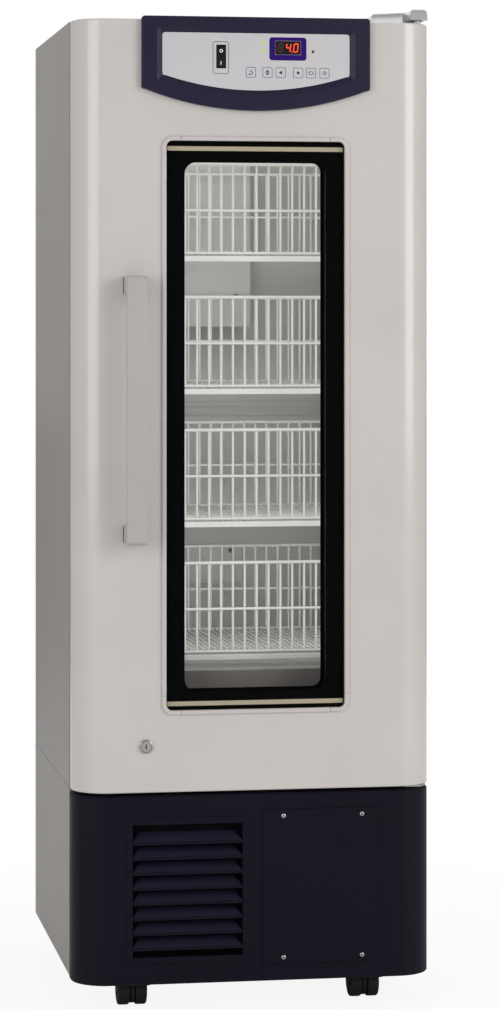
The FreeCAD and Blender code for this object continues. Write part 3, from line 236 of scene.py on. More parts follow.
def rounded(u0, u1, v0, v1, radius, steps=6):
    """Outline of a rectangle with round corners, the same count of points for any radius."""
    out = []
    r = max(radius, 0.001)
    for cu, cv, start in ((u1 - r, v0 + r, -90), (u1 - r, v1 - r, 0), (u0 + r, v1 - r, 90), (u0 + r, v0 + r, 180)):
        for i in range(steps + 1):
            a = math.radians(start + 90 * i / steps)
            out.append((cu + r * math.cos(a), cv + r * math.sin(a)))
    return out


def face_xz(outline, y):
    return [(u, y, v) for u, v in outline]


def block(x0, x1, y0, y1, z0, z1):
    v = [(x, y, z) for x in (x0, x1) for y in (y0, y1) for z in (z0, z1)]
    return v, [[0, 1, 3, 2], [4, 6, 7, 5], [0, 4, 5, 1], [2, 3, 7, 6], [0, 2, 6, 4], [1, 5, 7, 3]]


def section_x(points, x0, x1):
    """A section of (y, z) points drawn out along X."""
    return loft([[(x, y, z) for y, z in points] for x in (x0, x1)])


def lathe(centre, axis, profile, steps=40):
    """Profile of (radius, along) points turned about an axis that runs along X, Y or Z."""
    loops = []
    for radius, along in profile:
        loop = []
        for i in range(steps):
            a = 2 * math.pi * i / steps
            u, v = radius * math.cos(a), radius * math.sin(a)
            d = {"X": (along, u, v), "Y": (u, along, v), "Z": (u, v, along)}[axis]
            loop.append(tuple(c + o for c, o in zip(centre, d)))
        loops.append(loop)
    return loft(loops, caps=(profile[0][0] > 0.01, profile[-1][0] > 0.01))


def plate(name, loops, y0, y1, mat, body, bevel=0.3, plane="XZ", **more):
    """A flat plate with holes: the first loop is its outline, the others its holes."""
    curve = bpy.data.curves.new(name + "_flat", "CURVE")
    curve.dimensions = "2D"
    curve.fill_mode = "BOTH"
    low, high = min(y0, y1), max(y0, y1)
    curve.extrude = max((high - low) / 2 - bevel, 0.0) * 0.001
    curve.bevel_depth = bevel * 0.001
    curve.bevel_resolution = 1
    curve.offset = -bevel * 0.001
    for loop in loops:
        spline = curve.splines.new("POLY")
        spline.points.add(len(loop) - 1)
        for point, (u, v) in zip(spline.points, loop):
            point.co = (u * 0.001, v * 0.001, 0, 1)
        spline.use_cyclic_u = True
    holder = bpy.data.objects.new(name + "_flat", curve)
    bpy.context.scene.collection.objects.link(holder)
    bpy.context.view_layer.update()
    mesh = bpy.data.meshes.new_from_object(holder.evaluated_get(bpy.context.evaluated_depsgraph_get()))
    mesh.name = name
    bpy.data.objects.remove(holder)
    middle = (low + high) / 2 * 0.001
    for v in mesh.vertices:
        u, w, d = v.co
        v.co = {"XZ": (u, middle - d, w), "XY": (u, w, middle + d), "YZ": (middle + d, u, w)}[plane]
    return finish_mesh(name, mesh, mat, body, **more)


def bend(points, radius, steps=4):
    """Polyline with its inner corners rounded."""
    out = [Vector(points[0])]
    for before, at, after in zip(points, points[1:], points[2:]):
        a, b, c = Vector(before), Vector(at), Vector(after)
        start, end = b + (a - b).normalized() * radius, b + (c - b).normalized() * radius
        for i in range(steps + 1):
            t = i / steps
            out.append(start * (1 - t) ** 2 + b * 2 * t * (1 - t) + end * t * t)
    out.append(Vector(points[-1]))
    return out


def wires(name, lines, mat, body, replaces=(), fine=2):
    """Round wires: each line is (points, radius, closed)."""
    curve = bpy.data.curves.new(name, "CURVE")
    curve.dimensions = "3D"
    curve.bevel_depth = 0.001
    curve.bevel_resolution = fine
    curve.use_fill_caps = True
    for points, radius, closed in lines:
        spline = curve.splines.new("POLY")
        spline.points.add(len(points) - 1)
        for point, p in zip(spline.points, points):
            point.co = (p[0] * 0.001, p[1] * 0.001, p[2] * 0.001, 1)
            point.radius = radius
        spline.use_cyclic_u = closed
        spline.use_smooth = True
    curve.materials.append(M[mat])
    piece = bpy.data.objects.new(name, curve)
    bpy.context.scene.collection.objects.link(piece)
    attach(piece, body)
    if replaces:
        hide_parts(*replaces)
    return piece


# ---------------------------------------------------------------- case and panels
def case():
    x, y0, y1, z0, z1 = HALF, CASE, BACK, SEAM, TOP
    mx, mz0, mz1 = 223.5, 511.0, 1454.0
    v = [(-x, y0, z0), (x, y0, z0), (x, y0, z1), (-x, y0, z1),
         (-mx, y0, mz0), (mx, y0, mz0), (mx, y0, mz1), (-mx, y0, mz1),
         (-x, y1, z0), (x, y1, z0), (x, y1, z1), (-x, y1, z1),
         (-x + 1.2, y1, z0), (x - 1.2, y1, z0), (x - 1.2, y1, z1 - 1.2), (-x + 1.2, y1, z1 - 1.2),
         (-x + 1.2, y1 - 12, z0), (x - 1.2, y1 - 12, z0), (x - 1.2, y1 - 12, z1 - 1.2), (-x + 1.2, y1 - 12, z1 - 1.2)]
    f = [[0, 1, 5, 4], [1, 2, 6, 5], [2, 3, 7, 6], [3, 0, 4, 7], [0, 8, 11, 3], [1, 2, 10, 9], [3, 11, 10, 2],
         [8, 12, 15, 11], [11, 15, 14, 10], [10, 14, 13, 9], [12, 16, 19, 15], [15, 19, 18, 14], [14, 18, 17, 13]]
    make("case_shell", v, f, "grey_paint", "cabinet", replaces=["case_wrap"], bevel=2.0)
    for side, name in ((-1, "left"), (1, "right")):
        z0, z1 = 48.0, 334.2
        section = [(HALF, y1), (HALF, y0), (HALF - 24, y0), (HALF - 24, y0 + 1), (HALF - 1, y0 + 1), (HALF - 1, y1)]
        parts = loft([[(side * px, py, z) for px, py in section] for z in (z0, z1)])
        fold = block(*sorted((side * (HALF - 1), side * (HALF - 18))), y0 + 1, y1, z1 - 1, z1)
        v, f = merged([parts, fold])
        make("side_panel_" + name, v, f, "grey_paint", "cabinet",
             replaces=["side_panels"] if side < 0 else (), bevel=0.45, segments=2)


def screw(name, centre, axis, body, radius=3.4, height=1.6, mat="steel_screw", replaces=()):
    """Pan head with a cross recess. axis is the way that the head faces."""
    out = []
    for i in range(7):
        a = math.radians(90 * i / 6)
        out.append((radius * math.cos(a) if i < 6 else 0.9, 0.35 + (height - 0.35) * math.sin(a)))
    profile = [(radius, 0.0)] + out + [(0.85, height - 0.7), (0.005, height - 0.9)]
    sign = -1 if axis == "-Y" else 1
    turned = lathe((0, 0, 0), "Z" if axis == "Z" else "Y", [(r, a * sign) for r, a in profile], 24)
    v = [tuple(c + o for c, o in zip(centre, p)) for p in turned[0]]
    piece = make(name, v, turned[1], mat, body, replaces=replaces)
    arms = []
    for along in (0, 1):
        half = (radius * 0.55, 0.42) if along else (0.42, radius * 0.55)
        x, y, z = centre
        if axis == "Z":
            arms.append(block(x - half[0], x + half[0], y - half[1], y + half[1], z + height - 0.6, z + height + 0.02))
        else:
            a, b = sorted((y + sign * (height - 0.6), y + sign * (height + 0.02)))
            arms.append(block(x - half[0], x + half[0], a, b, z - half[1], z + half[1]))
    v, f = merged(arms)
    # The cross recess is near-black blocks set into the top of the head: painted shade in place of a cut recess.
    make(name + "_cross", v, f, "dark_gap", body)
    return piece


def screws():
    plate_head, duct_head = 3.4, 4.6
    spots = [((x, FRONT - 2.0, z), "-Y") for x in (42.5, 164.5) for z in (80.4, 296.0)]
    spots += [((x, 191.5, 1090.0), "-Y") for x in (-47, 47)] + [((x, 247.5, 661.0), "-Y") for x in (-47, 47)]
    spots += [((x, -104.5, 1513.5), "Z") for x in (214.0, 258.0)]
    for i, (centre, axis) in enumerate(spots):
        size = duct_head if 4 <= i < 8 else plate_head
        screw("fixing_screw_%d" % i, centre, axis, "cabinet", radius=size, replaces=["fixing_screws"] if i == 0 else ())


# ---------------------------------------------------------------- door
def plan(inset, rear, z, stops=()):
    """Plan outline of the door and the base cover. stops are x places on the flat front."""
    side, front, r = HALF - inset, FRONT + inset, CORNER - inset
    out = [(-side, rear, z)]
    for i in range(13):
        a = math.radians(180 + 90 * i / 12)
        out.append((-side + r + r * math.cos(a), front + r + r * math.sin(a), z))
    out += [(x, front, z) for x in stops]
    for i in range(13):
        a = math.radians(270 + 90 * i / 12)
        out.append((side - r + r * math.cos(a), front + r + r * math.sin(a), z))
    out.append((side, rear, z))
    return out


def rounded_levels(z0, z1, edge, step=4):
    """(inset, z) of a wall whose lower edge is broken a little and whose upper edge is round."""
    out = [(edge * 0.4, z0), (0.0, z0 + edge * 0.4)]
    top = []
    for i in range(step + 1):
        a = math.radians(90 * i / step)
        top.append((edge * (1 - math.cos(a)), z1 - edge + edge * math.sin(a)))
    return out, top


def door():
    low, high = rounded_levels(DOOR_BOTTOM, TOP, 3.0)
    stops = (-137.9, 137.9)
    levels = low + [(0, 459.4), (0, 1323.6)] + high
    loops = [plan(inset, DOOR_BACK, z, stops) for inset, z in levels]
    v, f = loft(loops, caps=(True, True), skip=lambda level,
                step: (level == 2 and step == 14) or step == len(loops[0]) - 1)
    make("door_shell", v, f, "door_paint", "door", replaces=["door_skin"], sharp=40)


def window():
    # trim: four straight pieces and four corner pieces with a fine butt joint between them
    x, z0, z1, r = 144.6, 452.7, 1330.3, 16.5
    profile = [(0.0, 0.0), (0.0, 1.3)]
    profile += [(1.7 - 1.7 * math.cos(a), 1.3 + 1.7 * math.sin(a)) for a in (0.4, 0.8, 1.2, 1.57)]
    profile += [(5.2 + 1.6 * math.sin(a), 1.4 + 1.6 * math.cos(a)) for a in (0.0, 0.4, 0.8, 1.2, 1.57)]
    profile += [(6.8, 0.0)]

    def trim(name, path, first):
        loops = [[(px - nx * inset, FRONT - out, pz - nz * inset) for inset, out in profile] for px, pz, nx, nz in path]
        v, f = loft(loops)
        make(name, v, f, "trim_grey", "door", replaces=["window_trim"] if first else (), sharp=50)

    leg, gap = 29.0, 0.7
    for i, (sx, sz) in enumerate(((-1, -1), (1, -1), (1, 1), (-1, 1))):
        cx, cz = sx * (x - r), (z0 + r if sz < 0 else z1 - r)
        path = [(sx * x, cz - sz * (leg - r), sx, 0)]
        for k in range(9):
            a = math.radians(90 * k / 8)
            path.append((cx + sx * r * math.cos(a), cz + sz * r * math.sin(a), sx * math.cos(a), sz * math.sin(a)))
        path.append((cx - sx * (leg - r), z0 if sz < 0 else z1, 0, sz))
        trim("trim_corner_%d" % i, path, i == 0)
    reach = leg + gap
    for i, (z, s) in enumerate(((z0, -1), (z1, 1))):
        trim("trim_rail_%d" % i, [(-x + reach, z, 0, s), (x - reach, z, 0, s)], False)
    for i, s in enumerate((-1, 1)):
        trim("trim_stile_%d" % i, [(s * x, z0 + reach, s, 0), (s * x, z1 - reach, s, 0)], False)
    # black border with the deep reveal behind the view opening
    outer = rounded(-137.7, 137.7, 459.6, 1323.4, 9.5, 8)
    view = rounded(-109, 109, 488, 1291, 18, 8)
    back = rounded(-116, 116, 481, 1298, 18, 8)
    y = -258.3
    loops = [face_xz(outer, y + 6), face_xz(outer, y), face_xz(view, y), face_xz(back, -213.6)]
    v, f = loft(loops, caps=(False, False))
    make("window_border", v, f, "surround_black", "door", replaces=["window_surround"])
    for i, (a, b) in enumerate(((1308.6, 1315.4), (465.6, 472.4))):
        plate("border_strip_%d" % i, [rounded(-135.8, 135.8, a, b, 0.8, 3)], y - 0.12, y + 0.5, "strip_cream", "door",
              bevel=0.05)
    # black frame round the inner pane, on the inside of the door
    frame_rear = ((137.6, -206.4, 2), (137.6, -205.3, 2), (136.9, -204.9, 2), (112.0, -204.9, 14), (111.3, -205.4, 14))
    v, f = loft([face_xz(rounded(-g, g, 597.0 - g, 1182.0 + g, r, 8), d) for g, d, r in frame_rear],
                caps=(False, False))
    make("window_rear_frame", v, f, "surround_black", "door")


def handle():
    x0, x1 = -203.25, -172.75
    y0, z0, z1 = FRONT - 43.0, 713.0, 1118.0
    out = []
    for cy, cz, start in ((y0 + 9, z0 + 9, 270), (y0 + 9, z1 - 9, 180)):
        for i in range(9):
            a = math.radians(start - 90 * i / 8)
            out.append((cy + 9 * math.cos(a), cz + 9 * math.sin(a)))
    outline = [(FRONT, z0)] + out + [(FRONT, z1), (FRONT, z1 - 29)]
    inner = []
    gy, ga, gb = y0 + 12.0, z0 + 29.0, z1 - 29.0
    for cy, cz, start in ((gy + 7, gb - 7, 90), (gy + 7, ga + 7, 180)):
        for i in range(7):
            a = math.radians(start + 90 * i / 6)
            inner.append((cy + 7 * math.cos(a), cz + 7 * math.sin(a)))
    outline += inner + [(FRONT, ga)]
    v, f = section_x(outline, x0, x1)
    make("door_handle", v, f, "handle_grey", "door", replaces=["handle"], bevel=1.6, segments=4)
    # A thin near-black plate under each foot of the handle, 0.8 mm wider than the foot on each side.
    for i, (a, b) in enumerate(((z0 + 1, z0 + 28), (z1 - 28, z1 - 1))):
        v, f = loft([face_xz(rounded(x0 - 0.8, x1 + 0.8, a, b, 2.5, 4), y) for y in (FRONT, FRONT - 1.0)])
        make("handle_foot_dark_plate_%d" % i, v, f, "black_plastic", "door", bevel=0.3, segments=2)


# ---------------------------------------------------------------- fascia and controls
def bowed(growth, half, top, corner_z, arc_z, corner, y, steps=6):
    """Outline with a straight top and a bowed lower edge, the same count of points for any size."""
    half, top, corner_z, arc_z = half + growth, top + growth, corner_z - growth, arc_z - growth
    rise = corner_z - arc_z
    big = (half ** 2 + rise ** 2) / (2 * rise)

    def low(x):
        return arc_z + big - math.sqrt(big ** 2 - x ** 2)

    r = corner
    out = []
    for i in range(steps + 1):
        a = math.radians(90 * i / steps)
        out.append((half - r + r * math.cos(a), top - r + r * math.sin(a)))
    for i in range(steps + 1):
        a = math.radians(90 + 90 * i / steps)
        out.append((-half + r + r * math.cos(a), top - r + r * math.sin(a)))
    lz = low(half - r)
    for i in range(steps + 1):
        t = i / steps
        out.append((-half + r * t * t, (lz + r) * (1 - t) ** 2 + (lz - r * 0.15) * 2 * t * (1 - t) + lz * t * t))
    for i in range(1, 24):
        x = (-half + r) * (1 - i / 12)
        out.append((x, low(x)))
    for i in range(steps + 1):
        t = 1 - i / steps
        out.append((half - r * t * t, (lz + r) * (1 - t) ** 2 + (lz - r * 0.15) * 2 * t * (1 - t) + lz * t * t))
    return [(x, y, z) for x, z in out]


FASCIA = (176.3, 1512.0, 1403.5, 1369.5)
OVERLAY = (144.5, 1487.5, 1424.0, 1400.5)
FILM = FRONT - 4.0
ROCKER_X, ROCKER_Z = -54.3, 1451.5


def fascia():
    f = FRONT
    levels = [(0, f + 0.0, FASCIA, 5), (0, f - 6.6, FASCIA, 5), (-0.4, f - 7.5, FASCIA, 5), (-1.4, f - 8.0, FASCIA, 5)]
    levels += [(8.9, f - 8.0, OVERLAY, 4.6), (8.2, f - 7.7, OVERLAY, 4.6), (0.7, f - 3.35, OVERLAY, 4.6),
               (0.0, f - 3.0, OVERLAY, 4.6)]
    loops = [bowed(g, *size, r, y) for g, y, size, r in levels]
    v, faces = loft(loops, caps=(False, False))
    make("fascia_frame", v, faces, "fascia_navy", "door", replaces=["fascia_bezel"], slot="navy_plastic", sharp=25)
    outline = [(px, pz) for px, _, pz in bowed(0, *OVERLAY, 4.6, 0)]
    opening = rounded(ROCKER_X - 7.6, ROCKER_X + 7.6, ROCKER_Z - 18.0, ROCKER_Z + 18.0, 0.8, 3)
    plate("control_film", [outline, opening], f - 3.0, FILM, "silver_film", "door", bevel=0.1,
          replaces=["fascia_overlay"])
    # The walls and floor of the recess round the rocker are near-black: painted shade.
    v, faces = loft([face_xz(opening, d) for d in (FILM + 0.3, f - 0.08)], caps=(False, True))
    make("switch_recess", v, faces, "dark_gap", "door", slot="black_plastic")


def ring_print(name, x0, x1, z0, z1, r, width, mat="print_grey", y=FILM, body="door"):
    plate(name, [rounded(x0, x1, z0, z1, r, 5), rounded(x0 + width, x1 - width, z0 + width, z1 - width,
                                                        max(r - width, 0.1), 5)],
          y - 0.06, y + 0.1, mat, body, bevel=0.0)


def controls():
    ring_print("switch_outline", -67.3, -42.4, 1425.1, 1474.5, 3.5, 0.9)
    # rocker: cap with two pressed faces, turned as in the part
    profile = [(7.0, 0), (6.2, 3), (4.7, 16.6), (4.2, 17.2), (0, 17.4), (-3, 5.7), (-3, -5.7), (0, -17.4), (4.2, -17.2),
               (4.7, -16.6), (6.2, -3)]
    tilt = math.radians(8)
    x, y, z = ROCKER_X, FRONT + 2.0, ROCKER_Z

    def turned(out, up):
        return (y - out * math.cos(tilt) - up * math.sin(tilt), z + up * math.cos(tilt) - out * math.sin(tilt))

    section = [turned(out * 0.98, up * 0.975) for out, up in profile]
    v, f = section_x(section, x - 7.0, x + 7.0)
    make("rocker_cap", v, f, "black_plastic", "switch", replaces=["rocker_switch"], bevel=0.5)
    marks = []
    for up, kind in ((9.5, "O"), (-9.0, "I")):
        out = (6.2 + (4.7 - 6.2) * (abs(up) - 3) / 13.6) * 0.98
        slope = math.atan2(-(1.5 / 13.6) * (1 if up > 0 else -1), 1)
        if kind == "O":
            outer = [(2.6 * math.cos(a * math.pi / 10), 2.6 * math.sin(a * math.pi / 10)) for a in range(20)]
            inner = [(u * 0.62, w * 0.62) for u, w in outer]
        else:
            outer, inner = [(0.5, -2.7), (0.5, 2.7), (-0.5, 2.7), (-0.5, -2.7)], None
        loops = []
        for ring_points in ([outer, inner] if inner else [outer]):
            loops.append([(x + u, *turned(out + 0.15 + w * math.sin(slope), up + w * math.cos(slope))) for u,
                          w in ring_points])
        marks.append(loft(loops, caps=(False, False)) if inner else (loops[0], [[0, 1, 2, 3]]))
    v, f = merged(marks)
    # The O and I marks glow a little: painted light.
    make("rocker_marks", v, f, "print_white_painted_glow", "switch", slot="black_plastic")
    # display block
    plate("display_print", [rounded(19.9, 77.5, 1446.7, 1481.9, 4.5, 6), rounded(29.0, 69.0, 1455.4, 1476.6, 0.6, 3)],
          FILM - 0.08, FILM + 0.1, "panel_purple", "door", bevel=0.0)
    v, f = loft([face_xz(rounded(29.3 + g, 68.7 - g, 1455.7 + g, 1476.3 - g, 0.8, 3), d)
                 for g, d in ((0, FILM + 0.4), (0, FILM - 0.15), (0.25, FILM - 0.3))], caps=(False, True))
    make("display_window", v, f, "black_plastic", "door", slot="black_plastic")
    lit, dark = [], []
    bars = {"a": (0, 1), "b": (1, 0.5), "c": (1, -0.5), "d": (0, -1), "e": (-1, -0.5), "f": (-1, 0.5), "g": (0, 0)}
    for cx, shape, store in ((37.0, "abcdefg", dark), (49.5, "bcfg", lit), (61.0, "abcdef", lit)):
        w, h, t = 3.1, 6.2, 0.75
        for key in shape:
            u, k = bars[key]
            if key in "adg":
                corners = [(-w + 0.5, k * h - t), (w - 0.5, k * h - t), (w - 0.5, k * h + t), (-w + 0.5, k * h + t)]
            else:
                mid, half = k * h, h / 2 - 0.45
                corners = [(u * w - t, mid - half), (u * w + t, mid - half), (u * w + t, mid + half),
                           (u * w - t, mid + half)]
            points = [(cx + px + 0.12 * pz, FILM - 0.34, 1466.0 + pz) for px, pz in corners]
            store.append((points, [[0, 1, 2, 3]]))
    lit.append(([(cx, FILM - 0.34, cz) for cx, cz in ((54.0, 1459.2), (55.4, 1459.2), (55.4, 1460.6),
                                                      (54.0, 1460.6))], [[0, 1, 2, 3]]))
    v, f = merged(lit)
    make("digits_lit", v, f, "digit_lit", "door", slot="black_plastic")
    v, f = merged(dark)
    make("digits_unlit", v, f, "digit_dark", "door", slot="black_plastic")
    for name, cx, cz, mat in (("lamp_a", 10.3, 1472.9, "lens_green"), ("lamp_b", 10.3, 1460.6, "lens_green"),
                              ("lamp_c", 87.7, 1472.9, "lens_clear"), ("lamp_d", 87.7, 1460.6, "lens_red")):
        profile = [(2.3, 0.1), (2.3, -0.12), (1.75, -0.2), (1.7, -0.45), (1.2, -0.8), (0.005, -0.95)]
        v, f = lathe((cx, FILM, cz), "Y", profile, 20)
        make(name, v, f, mat, "door", slot="silver_film")
    make("circuit_board", *block(-120, 120, -253.9, -252.6, 1412.6, 1479.4), "board_green", "door",
         replaces=["control_board"], bevel=0.3, segments=1)
    keys()


def flat_shape(points, y):
    return [(u, y, w) for u, w in points], [list(range(len(points)))]


def arc_band(cx, cz, r, start, end, width, steps=14, squash=1.0):
    outer, inner = [], []
    for i in range(steps + 1):
        a = math.radians(start + (end - start) * i / steps)
        outer.append((cx + (r + width / 2) * math.cos(a), cz + (r + width / 2) * math.sin(a) * squash))
        inner.append((cx + (r - width / 2) * math.cos(a), cz + (r - width / 2) * math.sin(a) * squash))
    return outer, inner


def icon(index, cx, cz, y):
    def strip(outer, inner):
        points = [(u, y, w) for u, w in outer + inner]
        n = len(outer)
        return points, [[i, i + 1, n + i + 1, n + i] for i in range(n - 1)]

    def poly(points):
        return flat_shape([(cx + u, cz + w) for u, w in points], y)

    if index == 0:
        return merged([strip(*arc_band(cx - 0.3, cz - 0.4, 2.6, 90, -90, 1.15)),
                       poly([(-2.6, 1.75), (-0.3, 1.75), (-0.3, 2.65), (-2.6, 2.65)]),
                       poly([(-0.3, -3.45), (-1.9, -3.45), (-1.9, -2.55), (-0.3, -2.55)]),
                       poly([(-1.9, -1.5), (-4.0, -3.0), (-1.9, -4.5)])])
    if index == 1:
        return merged([poly([(-3.0, 0.9), (3.0, 0.9), (0, 4.2)]), poly([(-3.0, -0.9), (0, -4.2), (3.0, -0.9)]),
                       poly([(-3.8, -0.25), (3.8, -0.25), (3.8, 0.25), (-3.8, 0.25)])])
    if index == 2:
        return poly([(2.0, 3.2), (-3.2, 0), (2.0, -3.2)])
    if index == 3:
        return poly([(2.2 * math.cos(a * math.pi / 12), 2.2 * math.sin(a * math.pi / 12)) for a in range(24)])
    if index == 4:
        return merged([strip(*arc_band(cx, cz, 3.4, 20, 160, 1.05, squash=0.75)),
                       strip(*arc_band(cx, cz, 3.4, 200, 340, 1.05, squash=0.75)),
                       poly([(-4.3, 1.6), (-1.9, 1.0), (-3.9, -0.6)]), poly([(4.3, -1.6), (1.9, -1.0), (3.9, 0.6)])])
    outer = [(3.4, 0), (0, 3.4), (-3.4, 0), (0, -3.4), (3.4, 0)]
    return strip([(cx + u, cz + w) for u, w in outer], [(cx + u * 0.6, cz + w * 0.6) for u, w in outer])


def keys():
    y = FILM - 0.5
    for index, cx in enumerate((-8.5, 17.0, 37.5, 64.5, 84.5, 105.5)):
        node, body = "control_key_%d" % (index + 1), "key_%d" % (index + 1)
        loops = [face_xz(rounded(cx - 7.8 + g, cx + 7.8 - g, 1420 + g, 1436 - g, 2.2 - g, 5), d)
                 for g, d in ((0, FILM + 0.9), (0, y + 0.18), (0.25, y))]
        v, f = loft(loops, caps=(False, True))
        make("key_cap_%d" % (index + 1), v, f, "silver_film", body, replaces=[node])
        ring_print("key_ring_%d" % (index + 1), cx - 7.6, cx + 7.6, 1420.2, 1435.8, 2.1, 0.75, "print_grey", y, body)
        v, f = icon(index, cx, 1428.0, y - 0.07)
        make("key_icon_%d" % (index + 1), v, f, "print_navy", body, slot="silver_film")


def lock():
    centre = (-169.0, FRONT, 406.0)
    profile = [(10.75, 0.0), (10.75, -1.7), (10.4, -2.4), (9.7, -2.85), (8.9, -3.0), (8.3, -3.0), (7.9, -2.6),
               (7.4, -2.6), (7.0, -2.95), (6.0, -2.95), (5.75, -2.6), (5.7, 2.0)]
    v, f = lathe(centre, "Y", profile, 48)
    f = f[:-1]
    make("lock_body", v, f, "nickel", "door", sharp=50)
    profile = [(5.5, 2.0), (5.5, -2.2), (5.2, -2.55), (4.4, -2.65), (0.005, -2.65)]
    v, f = lathe(centre, "Y", profile, 40)
    make("lock_face", v, f, "nickel", "lock", sharp=50)
    # The key slot is a near-black block on the lock face: painted shade in place of a cut keyway.
    v, f = merged([block(-169.9, -168.1, FRONT - 2.72, FRONT - 2.0, 402.6, 409.4)])
    make("key_slot", v, f, "dark_gap", "lock", slot="black_plastic", bevel=0.2, segments=2)


def offset_outline(points, distance):
    """Outline of (x, y) points moved inwards; points run anticlockwise."""
    out = []
    n = len(points)
    for i in range(n):
        a, b, c = (Vector(points[(i + k) % n]) for k in (-1, 0, 1))
        d1, d2 = (b - a).normalized(), (c - b).normalized()
        n1, n2 = Vector((-d1.y, d1.x)), Vector((-d2.y, d2.x))
        m = (n1 + n2) / (1 + n1.dot(n2))
        out.append(tuple(b + m * distance))
    return out


def top_hinge():
    outline = [(244, -247), (272, -247), (272, -118.5), (200, -118.5), (200, -165.5), (244, -193.5)]
    loops = []
    for inset, z in ((0.4, 1513.5), (0, 1514.0), (0.6, 1521.0), (1.6, 1526.5), (3.0, 1528.9), (5.5, 1530.0)):
        loops.append([(x, y, z) for x, y in offset_outline(outline, inset)])
    v, f = loft(loops)
    base = block(200, 272, -193.5, -90.5, 1508, 1513.5)
    pin = lathe((257.5, -233.5, 0), "Z", [(4.3, 1490), (4.3, 1513.5)], 32)
    make("hinge_bracket", *merged([(v, f), base, pin]), "zinc_casting", "cabinet", replaces=["top_hinge"], bevel=0.8)


def lower_hinge():
    r = CORNER - 2.0
    cx, cy = HALF - CORNER, FRONT + CORNER
    outline = [(236, CASE), (236, -247)]
    start = math.degrees(math.asin((-247 - cy) / r))
    end = math.degrees(math.acos((272 - cx) / r))
    for i in range(9):
        a = math.radians(start + (-end - start) * i / 8)
        outline.append((cx + r * math.cos(a), cy + r * math.sin(a)))
    outline.append((272, CASE))
    body = loft([[(x, y, z) for x, y in outline] for z in (332.0, 335.0)])
    flange = block(236, 272, CASE - 3.0, CASE, 332, 350)
    pin = lathe((257.5, -233.5, 0), "Z", [(4.3, 335), (4.3, 350), (3.6, 352)], 24)
    make("lower_hinge_plate", *merged([body, flange, pin]), "galvanised", "cabinet", replaces=["bottom_hinge"],
         bevel=0.4, segments=2)


# ---------------------------------------------------------------- front cover, grille, plate
def cover():
    low, high = rounded_levels(45.0, 331.0, 3.0)
    high = [(0, 327.6), (0.5, 328.2), (2.6, 330.6), (3.6, 331.0)]
    stops = (-195.0, -14.7)
    levels = low + [(0, 80.5), (0, 292.5)] + high
    loops = [plan(inset, CASE, z, stops) for inset, z in levels]
    n = len(loops[0])
    v, f = loft(loops, caps=(False, True), skip=lambda level, step: (level == 2 and step == 14) or step == n - 1)
    inner = [plan(3.0, CASE, z, stops) for z in (45.0, 80.5, 292.5, 326.0)]
    wall = loft(inner, caps=(False, False), skip=lambda level, step: (level == 1 and step == 14) or step == n - 1)
    rim = loft([plan(1.2, CASE, 45.0, stops), inner[0]], caps=(False, False), skip=lambda level, step: step == n - 1)
    make("base_cover_shell", *merged([(v, f), rim]), "navy_plastic", "cabinet", replaces=["base_cover"], sharp=40)
    # The inner wall of the cover is near-black instead of navy: painted shade inside the cover.
    make("base_cover_inside_painted_shade", *wall, "dark_gap", "cabinet", slot="navy_plastic")


def grille():
    x0, x1, z0, z1, b = -199.5, -10.2, 76.0, 297.0, 10.6
    y = FRONT - 1.5
    loops = [face_xz(rounded(x0 + g, x1 - g, z0 + g, z1 - g, max(3 - g, 0.3), 4), d) for g, d in
             ((0, FRONT), (0, y + 0.6), (0.6, y), (b - 1.4, y), (b - 0.6, y + 0.4), (b, y + 1.6), (b, FRONT + 20))]
    v, f = loft(loops, caps=(False, False))
    parts, slopes = [(v, f)], []
    for i in range(8):
        z = 104.1 + i * 22.83 - 8.0
        lip = [(FRONT - 0.9, z + 0.8), (FRONT - 0.4, z), (FRONT + 1.6, z), (FRONT + 1.6, z + 5.0),
               (FRONT - 0.3, z + 5.0), (FRONT - 0.9, z + 4.4)]
        parts.append(section_x(lip, x0 + b, x1 - b))
        low = [(FRONT + 0.2, z + 4.9), (FRONT + 1.2, z + 4.2)]
        high = [(FRONT + 15, z + 18.5), (FRONT + 15, z + 16.5)]
        slopes.append(loft([[(x, *low[0]) for x in (x0 + b, x1 - b)] + [(x, *low[1]) for x in (x1 - b, x0 + b)],
                            [(x, *high[0]) for x in (x0 + b + 11, x1 - b - 11)] + [(x,
                                    *high[1]) for x in (x1 - b - 11, x0 + b + 11)]]))
    make("vent_grille", *merged(parts), "navy_plastic", "cabinet", replaces=["louvre_grille"], bevel=0.35, segments=2)
    # The slanted louvre faces take the lighter navy copy: painted light on faces that the louvre above keeps in shade.
    make("vent_slats", *merged(slopes), "slat_navy", "cabinet", slot="navy_plastic")
    # A near-black sheet behind the louvres: painted shade standing for the dark inside of the base.
    make("vent_painted_shade_sheet", *block(x0 + 6, x1 - 6, FRONT + 19.6, FRONT + 20, z0 + 6, z1 - 6), "dark_gap", "cabinet",
         slot="navy_plastic")


def access_plate():
    loops = [face_xz(rounded(10.4 + g, 197 - g, 70.4 + g, 306 - g, 4 - g, 5), d) for g, d in
             ((0, FRONT), (0, FRONT - 1.1), (0.3, FRONT - 1.6), (1.0, FRONT - 2.0))]
    v, f = loft(loops, caps=(False, True))
    make("service_plate", v, f, "navy_plastic", "cabinet", replaces=["access_plate"], sharp=40)


